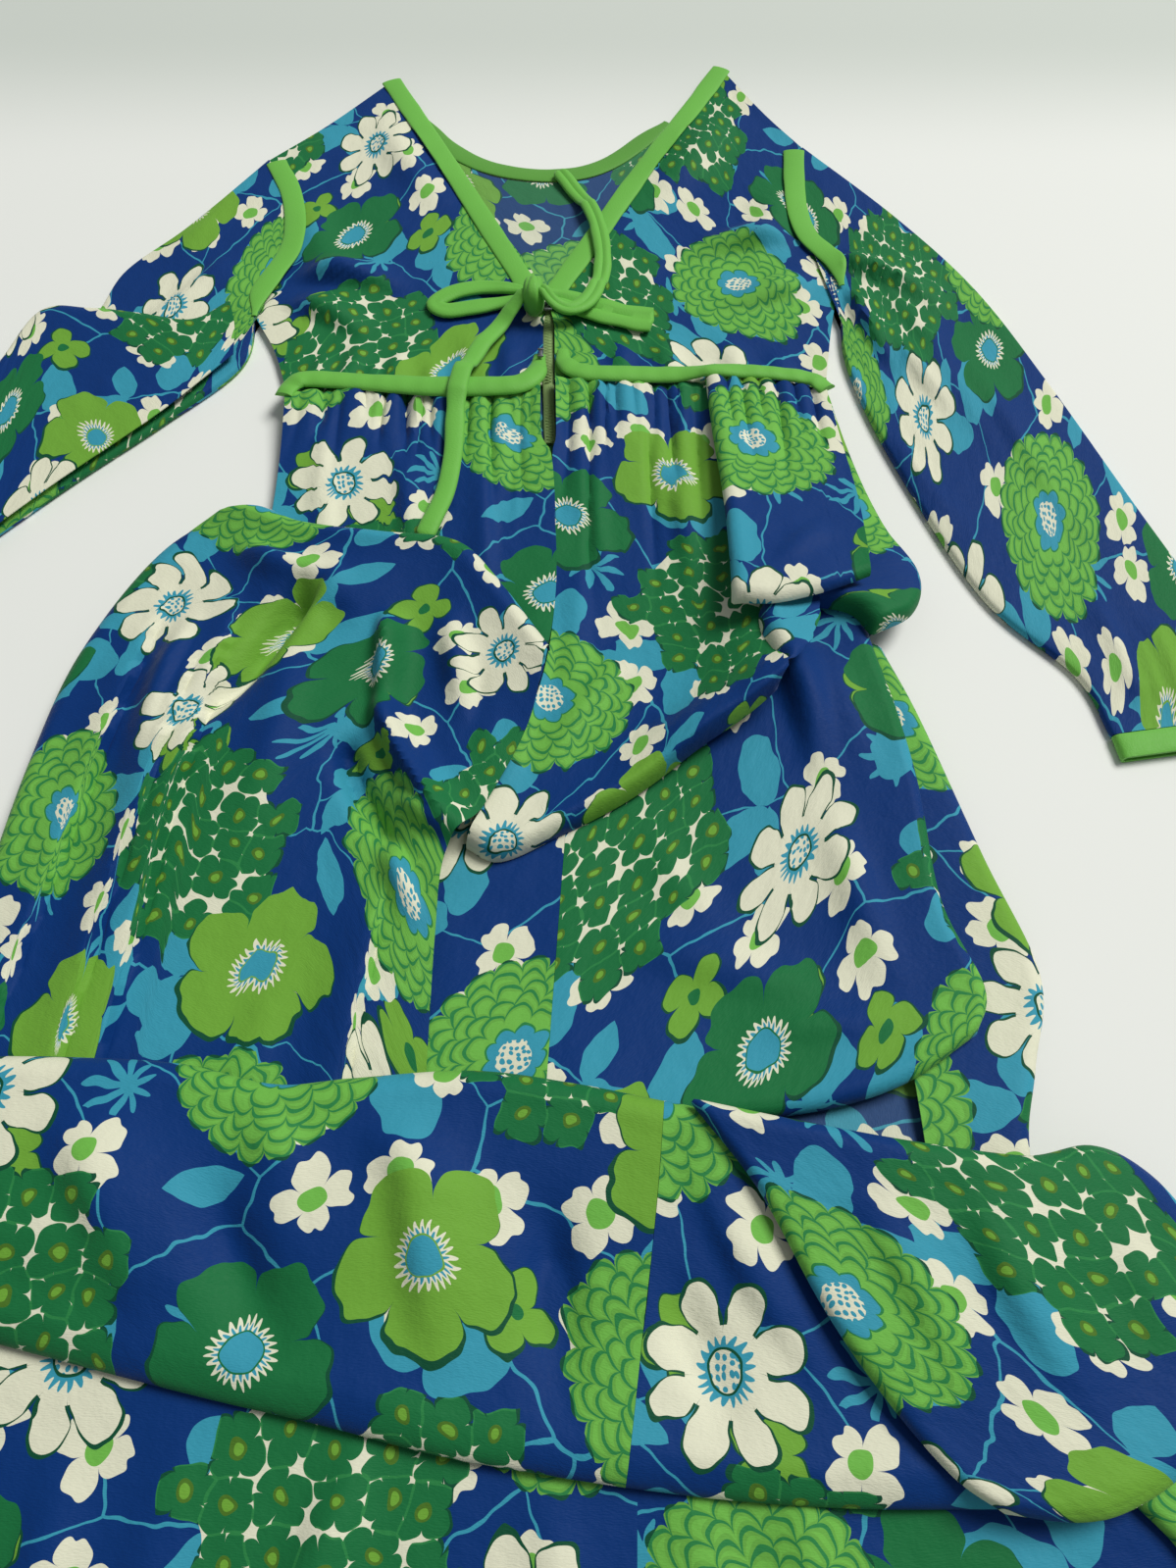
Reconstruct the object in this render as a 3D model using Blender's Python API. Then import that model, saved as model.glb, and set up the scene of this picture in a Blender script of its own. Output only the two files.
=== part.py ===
"""A long-sleeved, high-waisted floral maxi dress, laid out on a flat surface with its long skirt
folded up in a heap. Lengths in the tables are millimetres. The origin is at the centre front,
on the waist seam, on the surface: +X is the picture's right, +Y runs to the neck, +Z is up."""

import math
from collections import namedtuple

import bmesh
import bpy
import numpy as np
from mathutils import Matrix
from mathutils.bvhtree import BVHTree

MM = 0.001
WALL = 1.4
GAP = 0.3
TUBE_HEIGHT = 6.4
ARMHOLE_GAP = 4.5
BACK_INSET = 12.0
BINDING_WALL = 1.2
BINDING_CROWN = 1.3
BAND_CROWN = 5.5
BAND_WIDTH = 17.0
NECK_BINDING_WIDTH = 17.0
ARMHOLE_BINDING_WIDTH = 17.0
CUFF_DEPTH = 16.0
CUFF_HEIGHT = 7.4
TIE_WIDTH = 13.0
BOW_TIE_WIDTH = 10.0
TIE_THICKNESS = 6.0
ZIP_WIDTH = 7.4
ZIP_CROWN = 0.4
ZIP_CELLS = 6
BACK_BINDING_WIDTH = 17.0
BACK_CROWN = 0.8

RASTER_CELL = 3.0
RASTER_LOW = (-680.0, -860.0)
RASTER_HIGH = (480.0, 440.0)
DRAPE_STEPS = 14
DRAPE_REACH = 24.0

SHARP_ANGLE = math.radians(50)
STRIP_SHARES = (0.0, 0.15, 0.5, 0.85, 1.0)
STRIP_CELLS = 12
BAND_CELLS = 14
CUFF_WALL = 1.9
CUFF_SEAM = 0.8
CUFF_CELLS = 5
FOLD_FADE_IN, FOLD_FADE_OUT = 0.4, 0.6
TIE_SPACING = 16.0
TIE_REACH = 0.75

COLOURS = {
    "print": (0.02, 0.07, 0.30),
    "inside": (0.03, 0.09, 0.26),
    "lime": (0.17, 0.56, 0.06),
    "olive": (0.20, 0.29, 0.05),
    "metal": (0.45, 0.45, 0.44),
}

# A folded edge: how high the cloth stands there, how far in it reaches that height, and over
# what distance it sinks again.
Roll = namedtuple("Roll", "height reach sink")
FLAT = Roll(0.0, 0.0, 1.0)
ROLL_SHARES = (0.12, 0.42, 1.0)

# A ridge in the cloth from start to finish: height, half width, lean to one side (-1 to 1),
# sideways bow at its middle, and which ends stay open at full height.
Fold = namedtuple("Fold", "x1 y1 x2 y2 height width lean bow ends")
BOTH_FADE, START_OPEN = "both fade", "start open"


def smooth_curve(points, count):
    """Points spaced evenly along a smooth curve through a short list of points."""
    given = np.array(points, float)
    if len(given) == 2:
        steps = np.linspace(0, 1, count)[:, None]
        return given[0] * (1 - steps) + given[1] * steps
    before = 2 * given[0] - given[1]
    after = 2 * given[-1] - given[-2]
    full = np.vstack([before, given, after])
    fine = []
    for k in range(1, len(full) - 2):
        p0, p1, p2, p3 = full[k - 1 : k + 3]
        t = np.linspace(0, 1, 24, endpoint=False)[:, None]
        fine.append(
            0.5
            * (
                2 * p1
                + (p2 - p0) * t
                + (2 * p0 - 5 * p1 + 4 * p2 - p3) * t**2
                + (3 * p1 - p0 - 3 * p2 + p3) * t**3
            )
        )
    fine = np.vstack(fine + [given[-1:]])
    run = np.r_[0, np.cumsum(np.linalg.norm(np.diff(fine, axis=0), axis=1))]
    wanted = np.linspace(0, run[-1], count)
    return np.stack([np.interp(wanted, run, fine[:, a]) for a in range(given.shape[1])], axis=1)


def curve_at(points, stations):
    """Points of the smooth curve at the given shares of its length."""
    fine = smooth_curve(points, 241)
    share = np.linspace(0, 1, len(fine))
    return np.stack([np.interp(stations, share, fine[:, a]) for a in range(fine.shape[1])], axis=1)


def stations(cells, length, first, last):
    """Shares of a side, with extra ones close to a folded first or last edge."""
    inner = list(np.linspace(0, 1, cells + 1))
    for roll, at_start in ((first, True), (last, False)):
        if not roll.height:
            continue
        for share in ROLL_SHARES:
            place = min(share * roll.reach / length, 0.45)
            inner.append(place if at_start else 1 - place)
    inner = sorted(inner)
    spacing = 0.22 / cells
    kept = [0.0]
    hairline = 0.02 / cells
    for value in inner[1:-1]:
        near = value - kept[-1]
        in_roll = value * length < first.reach * 1.01 or (1 - value) * length < last.reach * 1.01
        if near > spacing or (in_roll and near > hairline):
            kept.append(value)
    if 1 - kept[-1] < hairline:
        kept.pop()
    return np.array(kept + [1.0])


def coons(top, bottom, left, right, across, down):
    """A grid of points between four edge curves, rows from top to bottom."""
    upper, lower = curve_at(top, across), curve_at(bottom, across)
    west, east = curve_at(left, down), curve_at(right, down)
    s, t = across[None, :, None], down[:, None, None]
    ruled = (1 - t) * upper[None] + t * lower[None]
    other = (1 - s) * west[:, None] + s * east[:, None]
    corners = (1 - t) * ((1 - s) * upper[0] + s * upper[-1]) + t * ((1 - s) * lower[0] + s * lower[-1])
    return ruled + other - corners


def fold_heights(xy, folds):
    """The height that a table of folds adds at each point of a grid."""
    total = np.zeros(xy.shape[:2])
    for fold in folds:
        start = np.array((fold.x1, fold.y1), float)
        along = np.array((fold.x2, fold.y2), float) - start
        length = np.linalg.norm(along)
        along /= length
        side = np.array((along[1], -along[0]))
        offset = xy - start
        t = np.clip(offset @ along / length, -0.4, 1.4)
        inside = np.clip(t, 0, 1)
        s = offset @ side - fold.bow * 4 * inside * (1 - inside)
        beyond = np.maximum(np.maximum(-t, t - 1), 0) * length
        width = np.where(s < 0, fold.width * (1 - fold.lean), fold.width * (1 + fold.lean))
        rise = np.clip((t if fold.ends == BOTH_FADE else np.ones_like(t)) / FOLD_FADE_IN, 0, 1)
        fall = np.clip((1 - t) / FOLD_FADE_OUT, 0, 1)
        envelope = (3 * rise**2 - 2 * rise**3) * (3 * fall**2 - 2 * fall**3)
        total += fold.height * envelope * np.exp(-((s / width) ** 2) - (beyond / (2 * fold.width)) ** 2)
    return total


def roll_heights(xy, rolls):
    """Height of the folded edges: top, bottom, left and right."""
    edges = (xy[:1], xy[-1:], xy[:, :1], xy[:, -1:])
    rise, crest = np.ones(xy.shape[:2]), np.zeros(xy.shape[:2])
    for roll, edge in zip(rolls, edges):
        if not roll.height:
            continue
        far = np.linalg.norm(xy - edge, axis=2)
        inner = np.clip(far / roll.reach, 0, 1)
        rise *= np.sqrt(1 - (1 - inner) ** 2)
        crest = np.maximum(crest, roll.height * np.exp(-np.maximum(far - roll.reach, 0) / roll.sink))
    return rise * crest


def surface_samples(points, triangles):
    """Points spread closely over the triangles, their edges too."""
    samples = []
    for a, b, c in points[triangles]:
        longest = max(np.linalg.norm(b - a), np.linalg.norm(c - a), np.linalg.norm(c - b))
        parts = max(1, int(longest / (0.6 * RASTER_CELL)))
        i, j = np.meshgrid(np.arange(parts + 1), np.arange(parts + 1))
        keep = i + j <= parts
        u, v = (i[keep] / parts)[:, None], (j[keep] / parts)[:, None]
        samples.append(a + u * (b - a) + v * (c - a))
    return np.concatenate(samples)


class Pile:
    """What lies on the surface so far: its height on a square raster, and its triangles."""

    def __init__(self):
        size = [int((h - l) / RASTER_CELL) + 1 for l, h in zip(RASTER_LOW, RASTER_HIGH)]
        self.height = np.zeros(size)
        self.points = np.zeros((0, 3))
        self.triangles = np.zeros((0, 3), int)
        self.samples = np.zeros((0, 3))

    def cover(self, points, triangles):
        """Add a piece."""
        samples = surface_samples(points, triangles)
        column = ((samples[:, 0] - RASTER_LOW[0]) / RASTER_CELL + 0.5).astype(int)
        row = ((samples[:, 1] - RASTER_LOW[1]) / RASTER_CELL + 0.5).astype(int)
        np.maximum.at(self.height, (column, row), samples[:, 2])
        self.triangles = np.concatenate([self.triangles, triangles + len(self.points)])
        self.points = np.concatenate([self.points, points])
        self.samples = np.concatenate([self.samples, samples])

    def room_under(self, points, triangles):
        """How far a piece can sink before it is a gap above the pile, or lies on the surface."""
        room = points[:, 2].min()
        beneath = BVHTree.FromPolygons(self.points.tolist(), self.triangles.tolist())
        piece = BVHTree.FromPolygons(points.tolist(), triangles.tolist())
        low, high = points.min(axis=0)[:2], points.max(axis=0)[:2]
        inside = ((self.samples[:, :2] > low) & (self.samples[:, :2] < high)).all(axis=1)
        for tree, starts, way in (
            (beneath, surface_samples(points, triangles), (0, 0, -1)),
            (piece, self.samples[inside], (0, 0, 1)),
        ):
            for start in starts.tolist():
                distance = tree.ray_cast(start, way)[3]
                if distance is not None and distance - GAP < room:
                    room = distance - GAP
        return max(room, 0.0)

    def highest_near(self, x, y, reach):
        """The greatest height within reach of a point."""
        cells = int(math.ceil(reach / RASTER_CELL)) + 1
        column = int((x - RASTER_LOW[0]) / RASTER_CELL + 0.5)
        row = int((y - RASTER_LOW[1]) / RASTER_CELL + 0.5)
        window = self.height[
            max(column - cells, 0) : column + cells + 1, max(row - cells, 0) : row + cells + 1
        ]
        return window.max()


def longest_edges(xy):
    """For each grid point, the longest edge or diagonal that meets it."""
    rows, columns = xy.shape[:2]
    reach = np.zeros((rows, columns))
    for dr, dc in ((0, 1), (1, 0), (1, 1), (1, -1)):
        r0, r1 = slice(0, rows - dr), slice(dr, rows)
        if dc >= 0:
            c0, c1 = slice(0, columns - dc), slice(dc, columns)
        else:
            c0, c1 = slice(1, columns), slice(0, -1)
        length = np.linalg.norm(xy[r0, c0] - xy[r1, c1], axis=2)
        reach[r0, c0] = np.maximum(reach[r0, c0], length)
        reach[r1, c1] = np.maximum(reach[r1, c1], length)
    return reach


def drape(xy, pile, clearance, steps=DRAPE_STEPS):
    """The lowest smooth height at which a sheet on this grid clears the pile."""
    reach = longest_edges(xy)
    least = np.zeros(xy.shape[:2])
    for r in range(xy.shape[0]):
        for c in range(xy.shape[1]):
            least[r, c] = pile.highest_near(xy[r, c, 0], xy[r, c, 1], min(reach[r, c], DRAPE_REACH))
    least = least + clearance
    height = least.copy()
    for _ in range(steps):
        padded = np.pad(height, 1, mode="edge")
        mean = (padded[2:, 1:-1] + padded[:-2, 1:-1] + padded[1:-1, 2:] + padded[1:-1, :-2]) / 4
        height = np.maximum(least, mean)
    return height


def grid_normals(points):
    """Unit normals of a grid of points, turned upwards."""
    down = np.gradient(points, axis=0)
    across = np.gradient(points, axis=1)
    normal = np.cross(down, across)
    normal *= np.where(normal[..., 2:] < 0, -1, 1)
    return normal / np.linalg.norm(normal, axis=2, keepdims=True)


def finish(name, mesh_maker, colour):
    """Turn a bmesh in millimetres into a named, smooth-shaded object in metres."""
    bmesh.ops.recalc_face_normals(mesh_maker, faces=mesh_maker.faces)
    bmesh.ops.triangulate(mesh_maker, faces=mesh_maker.faces, quad_method="FIXED")
    bmesh.ops.scale(mesh_maker, vec=(MM, MM, MM), verts=mesh_maker.verts)
    mesh = bpy.data.meshes.new(name)
    mesh_maker.to_mesh(mesh)
    mesh_maker.free()
    mesh.shade_smooth()
    mesh.set_sharp_from_angle(angle=SHARP_ANGLE)
    mesh.materials.append(material(colour))
    piece = bpy.data.objects.new(name, mesh)
    bpy.context.scene.collection.objects.link(piece)
    return piece


def shape_of(piece):
    """The points, in millimetres, and triangles of a finished object."""
    bpy.context.view_layer.update()
    evaluated = piece.evaluated_get(bpy.context.evaluated_depsgraph_get())
    mesh = evaluated.to_mesh()
    mesh.calc_loop_triangles()
    points = np.array([v.co[:] for v in mesh.vertices]) / MM
    triangles = np.array([t.vertices[:] for t in mesh.loop_triangles])
    evaluated.to_mesh_clear()
    return points, triangles


def settle(pieces, pile):
    """Let pieces sink together onto what lies beneath them, and add them to the pile."""
    shapes = [shape_of(piece) for piece in pieces]
    room = min(pile.room_under(points, triangles) for points, triangles in shapes)
    for piece, (points, triangles) in zip(pieces, shapes):
        piece.data.transform(Matrix.Translation((0, 0, -room * MM)))
        pile.cover(points - (0, 0, room), triangles)
    return pieces


def material(colour):
    """One Principled material for each colour of cloth or metal."""
    if colour in bpy.data.materials:
        return bpy.data.materials[colour]
    made = bpy.data.materials.new(colour)
    made.use_nodes = True
    shader = made.node_tree.nodes["Principled BSDF"]
    shader.inputs["Base Color"].default_value = (*COLOURS[colour], 1)
    shader.inputs["Roughness"].default_value = 0.4 if colour == "metal" else 0.75
    shader.inputs["Metallic"].default_value = 1.0 if colour == "metal" else 0.0
    return made


def grid_mesh(rows, columns):
    """A bmesh grid whose points carry their station number, row by row."""
    maker = bmesh.new()
    bmesh.ops.create_grid(maker, x_segments=columns - 1, y_segments=rows - 1, size=1)
    number = maker.verts.layers.int.new("station")
    for vert in maker.verts:
        column = round((vert.co.x + 1) / 2 * (columns - 1))
        row = round((1 - vert.co.y) / 2 * (rows - 1))
        vert[number] = row * columns + column
    return maker, number


def closed_sheet(name, under, upper, colour):
    """A closed body between two grids of points, joined round their edges."""
    rows, columns = under.shape[:2]
    maker, number = grid_mesh(rows, columns)
    sheet = bmesh.ops.extrude_face_region(maker, geom=maker.faces[:])
    raised = {item for item in sheet["geom"] if isinstance(item, bmesh.types.BMVert)}
    flat_under, flat_upper = under.reshape(-1, 3), upper.reshape(-1, 3)
    for vert in maker.verts:
        vert.co = (flat_upper if vert in raised else flat_under)[vert[number]]
    return finish(name, maker, colour)


def cloth_wall(name, under, thickness, colour):
    """A sheet of cloth: its underside is the given grid, and its outer side lies a wall above."""
    return closed_sheet(name, under, under + grid_normals(under) * thickness, colour)


Panel = namedtuple(
    "Panel",
    "name top bottom left right across down rolls folds colour",
    defaults=((FLAT, FLAT, FLAT, FLAT), (), "print"),
)


def panel_grid(panel):
    """The panel's points as seen from above."""
    wide = np.linalg.norm(np.subtract(panel.top[0], panel.top[-1]))
    tall = np.linalg.norm(np.subtract(panel.left[0], panel.left[-1]))
    top_roll, bottom_roll, left_roll, right_roll = panel.rolls
    across = stations(panel.across, wide, left_roll, right_roll)
    down = stations(panel.down, tall, top_roll, bottom_roll)
    return coons(panel.top, panel.bottom, panel.left, panel.right, across, down)


def lay(panels, pile):
    """Lay panels that share one level on the pile, side by side."""
    grids = []
    for panel in panels:
        xy = panel_grid(panel)
        base = drape(xy, pile, GAP)
        height = base + roll_heights(xy, panel.rolls) + fold_heights(xy, panel.folds)
        grids.append(np.dstack([xy, height]))
    return settle([cloth_wall(p.name, g, WALL, p.colour) for p, g in zip(panels, grids)], pile)


def strip_panel(name, path, width, crown, cells, colour="lime"):
    """A binding or band: a strip of even width along a path, crowned across."""
    line = smooth_curve(path, cells + 1)
    way = np.gradient(line, axis=0)
    way /= np.linalg.norm(way, axis=1, keepdims=True)
    side = np.stack([-way[:, 1], way[:, 0]], axis=1) * width / 2
    edge = Roll(crown, width / 2, 1000.0)
    return name, line + side, line - side, edge, colour


def lay_strips(strips, pile, thickness=BINDING_WALL):
    """Lay bindings or bands: flat beneath, and crowned across their width."""
    laid = []
    shares = np.array(STRIP_SHARES)
    for name, first, last, edge, colour in strips:
        xy = first[:, None] * (1 - shares[None, :, None]) + last[:, None] * shares[None, :, None]
        base = drape(xy, pile, GAP, steps=4)
        base = np.repeat(base.max(axis=1, keepdims=True), len(shares), axis=1)
        crown = edge.height * np.sqrt(np.maximum(1 - (2 * shares - 1) ** 2, 0))
        laid.append((name, np.dstack([xy, base]), np.dstack([xy, base + thickness + crown]), colour))
    return [settle([closed_sheet(*piece)], pile)[0] for piece in laid]


Sleeve = namedtuple("Sleeve", "name top bottom left right across down folds")


def flat_tube(name, xy, height, wall, folds, colour, pile):
    """A flattened tube of cloth: the grid's columns run across it, and its two ends are open."""
    width = np.linalg.norm(xy[:, :1] - xy[:, -1:], axis=2)
    middle = (xy[:, :1] + xy[:, -1:]) / 2
    raised = fold_heights(xy, folds)

    def skin(inset):
        radius = height / 2 - inset
        half = width[:, :, None] / 2
        points = middle + (xy - middle) * (half - inset) / half
        from_edge = np.minimum(
            np.linalg.norm(points - points[:, :1], axis=2), np.linalg.norm(points - points[:, -1:], axis=2)
        )
        sunk = radius * (1 - np.sqrt(1 - (1 - np.clip(from_edge / radius, 0, 1)) ** 2))
        lift = raised * np.clip(from_edge / 12.0, 0, 1)
        over = np.dstack([points, height - inset - sunk + lift])
        below = np.dstack([points, inset + sunk])
        return np.concatenate([over, below[:, -2:0:-1]], axis=1)

    outer, inner = skin(0.0), skin(wall)
    rings = np.concatenate([outer, inner[::-1], outer[:1]])
    rings = np.concatenate([rings, rings[:, :1]], axis=1)
    maker, number = grid_mesh(rings.shape[0], rings.shape[1])
    flat = rings.reshape(-1, 3)
    for vert in maker.verts:
        vert.co = flat[vert[number]]
    bmesh.ops.remove_doubles(maker, verts=maker.verts, dist=0.001)
    return settle([finish(name, maker, colour)], pile)[0]


def across_tube(cells, width):
    """Shares across a flattened tube, with extra ones at its two round edges."""
    edge = TUBE_HEIGHT / 2 / width
    inner = np.linspace(0, 1, cells + 1)[1:-1]
    return np.array([0.0, 0.25 * edge, edge, *inner, 1 - edge, 1 - 0.25 * edge, 1.0])


def build_sleeve(sleeve, pile):
    width = np.linalg.norm(np.subtract(sleeve.top[0], sleeve.top[-1]))
    xy = coons(
        sleeve.top, sleeve.bottom, sleeve.left, sleeve.right,
        across_tube(sleeve.across, width), np.linspace(0, 1, sleeve.down + 1),
    )
    return flat_tube(sleeve.name, xy, TUBE_HEIGHT, WALL, sleeve.folds, "print", pile)


def build_cuff(name, first, last, pile):
    """A cuff binding: a short, thicker tube beyond the sleeve's end."""
    first, last = np.array(first, float), np.array(last, float)
    along = last - first
    side = along / np.linalg.norm(along)
    out = np.array((side[1], -side[0])) if name.endswith("left") else np.array((-side[1], side[0]))
    out = out if out[1] < 0 else -out
    shares = across_tube(CUFF_CELLS, np.linalg.norm(along))
    rows = [CUFF_SEAM, CUFF_SEAM + CUFF_DEPTH / 2, CUFF_SEAM + CUFF_DEPTH]
    xy = np.array([[first + along * s + out * r for s in shares] for r in rows])
    return flat_tube(name, xy, CUFF_HEIGHT, CUFF_WALL, (), "lime", pile)


def tie(name, route, pile, width=TIE_WIDTH):
    """A turned cloth tube, flat in section, along a route over what lies beneath it."""
    line = smooth_curve(route, max(8, int(polyline_length(route) / TIE_SPACING)))
    radius = TIE_THICKNESS / 2
    height = np.array([pile.highest_near(x, y, width * TIE_REACH) for x, y in line])
    height += GAP + radius
    for _ in range(6):
        padded = np.pad(height, 1, mode="edge")
        height = np.maximum(height, (padded[2:] + padded[:-2]) / 2)
    curve = bpy.data.curves.new(name, "CURVE")
    curve.dimensions = "3D"
    curve.twist_mode = "Z_UP"
    curve.bevel_depth = radius * MM
    curve.extrude = (width / 2 - radius) * MM
    curve.bevel_resolution = 2
    curve.use_fill_caps = True
    spline = curve.splines.new("POLY")
    spline.points.add(len(line) - 1)
    for point, (x, y), z in zip(spline.points, line, height):
        point.co = (x * MM, y * MM, z * MM, 1)
        point.tilt = math.pi / 2
    curve.materials.append(material("lime"))
    piece = bpy.data.objects.new(name, curve)
    bpy.context.scene.collection.objects.link(piece)
    return settle([piece], pile)[0]


def polyline_length(points):
    given = np.array(points, float)
    return np.linalg.norm(np.diff(given, axis=0), axis=1).sum()


def rounded_block(name, centre, size, colour, pile):
    """A small rounded block that lies on the pile."""
    maker = bmesh.new()
    bmesh.ops.create_cube(maker, size=1)
    bmesh.ops.scale(maker, vec=size, verts=maker.verts)
    bmesh.ops.bevel(
        maker, geom=maker.edges, offset=min(size) * 0.4, segments=2, profile=0.5, affect="EDGES", material=-1
    )
    base = pile.highest_near(centre[0], centre[1], max(size[:2]) / 2)
    bmesh.ops.translate(maker, vec=(*centre, base + GAP + size[2] / 2), verts=maker.verts)
    return settle([finish(name, maker, colour)], pile)[0]


UnderRow = namedtuple("UnderRow", "y height")
UNDER_HEIGHTS = (
    UnderRow(8, 1.4),
    UnderRow(-120, 4.0),
    UnderRow(-250, 6.0),
    UnderRow(-400, 7.0),
    UnderRow(-480, 9.0),
    UnderRow(-540, 19.0),
    UnderRow(-600, 18.0),
    UnderRow(-660, 8.0),
    UnderRow(-800, 3.0),
)
RIM_LAYER = 0.7
RIM_BULGE = 0.9
UNDER_SIDE_REACH = 34.0


def build_hidden_layers(panel, pile):
    """The skirt's hidden layers as one rounded solid: flat beneath, layered round its rim."""
    xy = panel_grid(panel)
    ys = [row.y for row in UNDER_HEIGHTS][::-1]
    heights = [row.height for row in UNDER_HEIGHTS][::-1]
    rim = 2 * RIM_LAYER
    full = np.interp(xy[..., 1], ys, heights)
    side = np.minimum(np.linalg.norm(xy - xy[:, :1], axis=2), np.linalg.norm(xy - xy[:, -1:], axis=2))
    hem = np.linalg.norm(xy - xy[-1:], axis=2)
    inner = np.clip(np.minimum(side, hem) / UNDER_SIDE_REACH, 0, 1)
    height = rim + np.maximum(full - rim, 0) * np.sqrt(1 - (1 - inner) ** 2)
    rows, columns = xy.shape[:2]
    maker, number = grid_mesh(rows, columns)
    outward = {}
    for vert in maker.verts:
        r, c = divmod(vert[number], columns)
        vert.co = (*xy[r, c], height[r, c])
        ir, ic = min(max(r, 1), rows - 2), min(max(c, 1), columns - 2)
        way = xy[r, c] - xy[ir, ic]
        outward[vert[number]] = way / max(np.linalg.norm(way), 1e-6)
    rim_edges = [edge for edge in maker.edges if edge.is_boundary]
    levels = (
        (1.5 * RIM_LAYER, RIM_BULGE), (RIM_LAYER, -RIM_BULGE), (0.5 * RIM_LAYER, RIM_BULGE), (0.0, -0.5),
    )
    for z, bulge in levels:
        ring = bmesh.ops.extrude_edge_only(maker, edges=rim_edges)
        rim_edges = [item for item in ring["geom"] if isinstance(item, bmesh.types.BMEdge)]
        for vert in (item for item in ring["geom"] if isinstance(item, bmesh.types.BMVert)):
            r, c = divmod(vert[number], columns)
            place = xy[r, c] + outward[vert[number]] * bulge
            vert.co = (*place, z)
        rim_edges = [edge for edge in rim_edges if edge.is_boundary]
    bmesh.ops.edgeloop_fill(maker, edges=rim_edges)
    return settle([finish(panel.name, maker, "inside")], pile)[0]


# Outlines of the bodice, shared by the pieces that meet there.
NECK_TIP_LEFT, NECK_TIP_RIGHT = (-141, 375), (144, 397)
SHOULDER_LEFT, SHOULDER_RIGHT = (-237, 264), (208, 281)
UNDERARM_LEFT, UNDERARM_RIGHT = (-223, 80), (221, 120)
ARMHOLE_LEFT = (SHOULDER_LEFT, (-214, 226), (-203, 180), (-202, 150), (-212, 122), (-221, 100), UNDERARM_LEFT)
ARMHOLE_RIGHT = (SHOULDER_RIGHT, (200, 240), (196, 195), (200, 160), (214, 140), UNDERARM_RIGHT)
WAIST_LEFT, WAIST_RIGHT = (-187, -8), (199, -6)
NECK_V = (-8, 112)
BACK_NECK = (
    NECK_TIP_LEFT, (-122, 327), (-96, 286), (-56, 250), (0, 239), (48, 255), (100, 313), (126, 355),
    NECK_TIP_RIGHT,
)
SIDE_SEAM_LEFT = ((-203, 40), WAIST_LEFT)
SIDE_SEAM_RIGHT = ((209, 55), WAIST_RIGHT)


def apart(points, dx, dy=0.0):
    """The same line moved aside, which keeps the gap at a seam."""
    return tuple((x + dx, y + dy) for x, y in points)


BODICE_BACK = Panel(
    "bodice_back",
    top=(SHOULDER_LEFT, (-192, 312), *BACK_NECK, (178, 330), SHOULDER_RIGHT),
    bottom=(WAIST_LEFT, (-90, -4), (0, 10), (100, -1), WAIST_RIGHT),
    left=(
        SHOULDER_LEFT, *apart(ARMHOLE_LEFT[1:], BACK_INSET), *apart(SIDE_SEAM_LEFT[:1], BACK_INSET), WAIST_LEFT,
    ),
    right=(
        SHOULDER_RIGHT, *apart(ARMHOLE_RIGHT[1:], -BACK_INSET), *apart(SIDE_SEAM_RIGHT[:1], -BACK_INSET),
        WAIST_RIGHT,
    ),
    across=14,
    down=9,
    colour="inside",
)

# Small drags in the bodice: from the bust to the waist seam, and from the armholes.
BODICE_LEFT_FOLDS = (
    Fold(-150, 2, -138, 60, 2.4, 9, 0.0, 3, START_OPEN),
    Fold(-112, 0, -106, 48, 2.0, 8, 0.2, -3, START_OPEN),
    Fold(-66, -2, -60, 70, 2.2, 9, 0.0, 4, START_OPEN),
    Fold(-30, 4, -28, 60, 1.8, 8, 0.0, 0, START_OPEN),
    Fold(-198, 140, -110, 120, 2.2, 12, 0.0, -6, BOTH_FADE),
    Fold(-150, 330, -70, 180, 2.0, 14, 0.0, 8, BOTH_FADE),
)
BODICE_RIGHT_FOLDS = (
    Fold(50, 6, 52, 58, 2.0, 8, 0.0, 3, START_OPEN),
    Fold(92, 2, 86, 64, 2.4, 9, 0.1, -3, START_OPEN),
    Fold(136, 0, 128, 60, 2.2, 9, 0.0, 4, START_OPEN),
    Fold(172, -4, 166, 48, 1.8, 8, 0.0, 0, START_OPEN),
    Fold(195, 175, 100, 150, 2.4, 13, 0.0, 6, BOTH_FADE),
    Fold(150, 340, 60, 190, 2.0, 14, 0.0, -8, BOTH_FADE),
)

BODICE_FRONT_LEFT = Panel(
    "bodice_front_left",
    top=(SHOULDER_LEFT, (-192, 312), NECK_TIP_LEFT),
    bottom=(WAIST_LEFT, (-120, -2), (-60, -2), (-5, 6)),
    left=(*ARMHOLE_LEFT, *SIDE_SEAM_LEFT),
    right=(NECK_TIP_LEFT, (-100, 292), (-56, 205), NECK_V, (-5, 60), (-5, 6)),
    across=10,
    down=14,
    folds=BODICE_LEFT_FOLDS,
)

BODICE_FRONT_RIGHT = Panel(
    "bodice_front_right",
    top=(NECK_TIP_RIGHT, (178, 330), SHOULDER_RIGHT),
    bottom=((4.5, 8), (60, 4), (120, 2), WAIST_RIGHT),
    left=(NECK_TIP_RIGHT, (92, 300), (44, 208), (2, 112), (3.5, 60), (4.5, 8)),
    right=(*ARMHOLE_RIGHT, *SIDE_SEAM_RIGHT),
    across=10,
    down=14,
    folds=BODICE_RIGHT_FOLDS,
)

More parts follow.
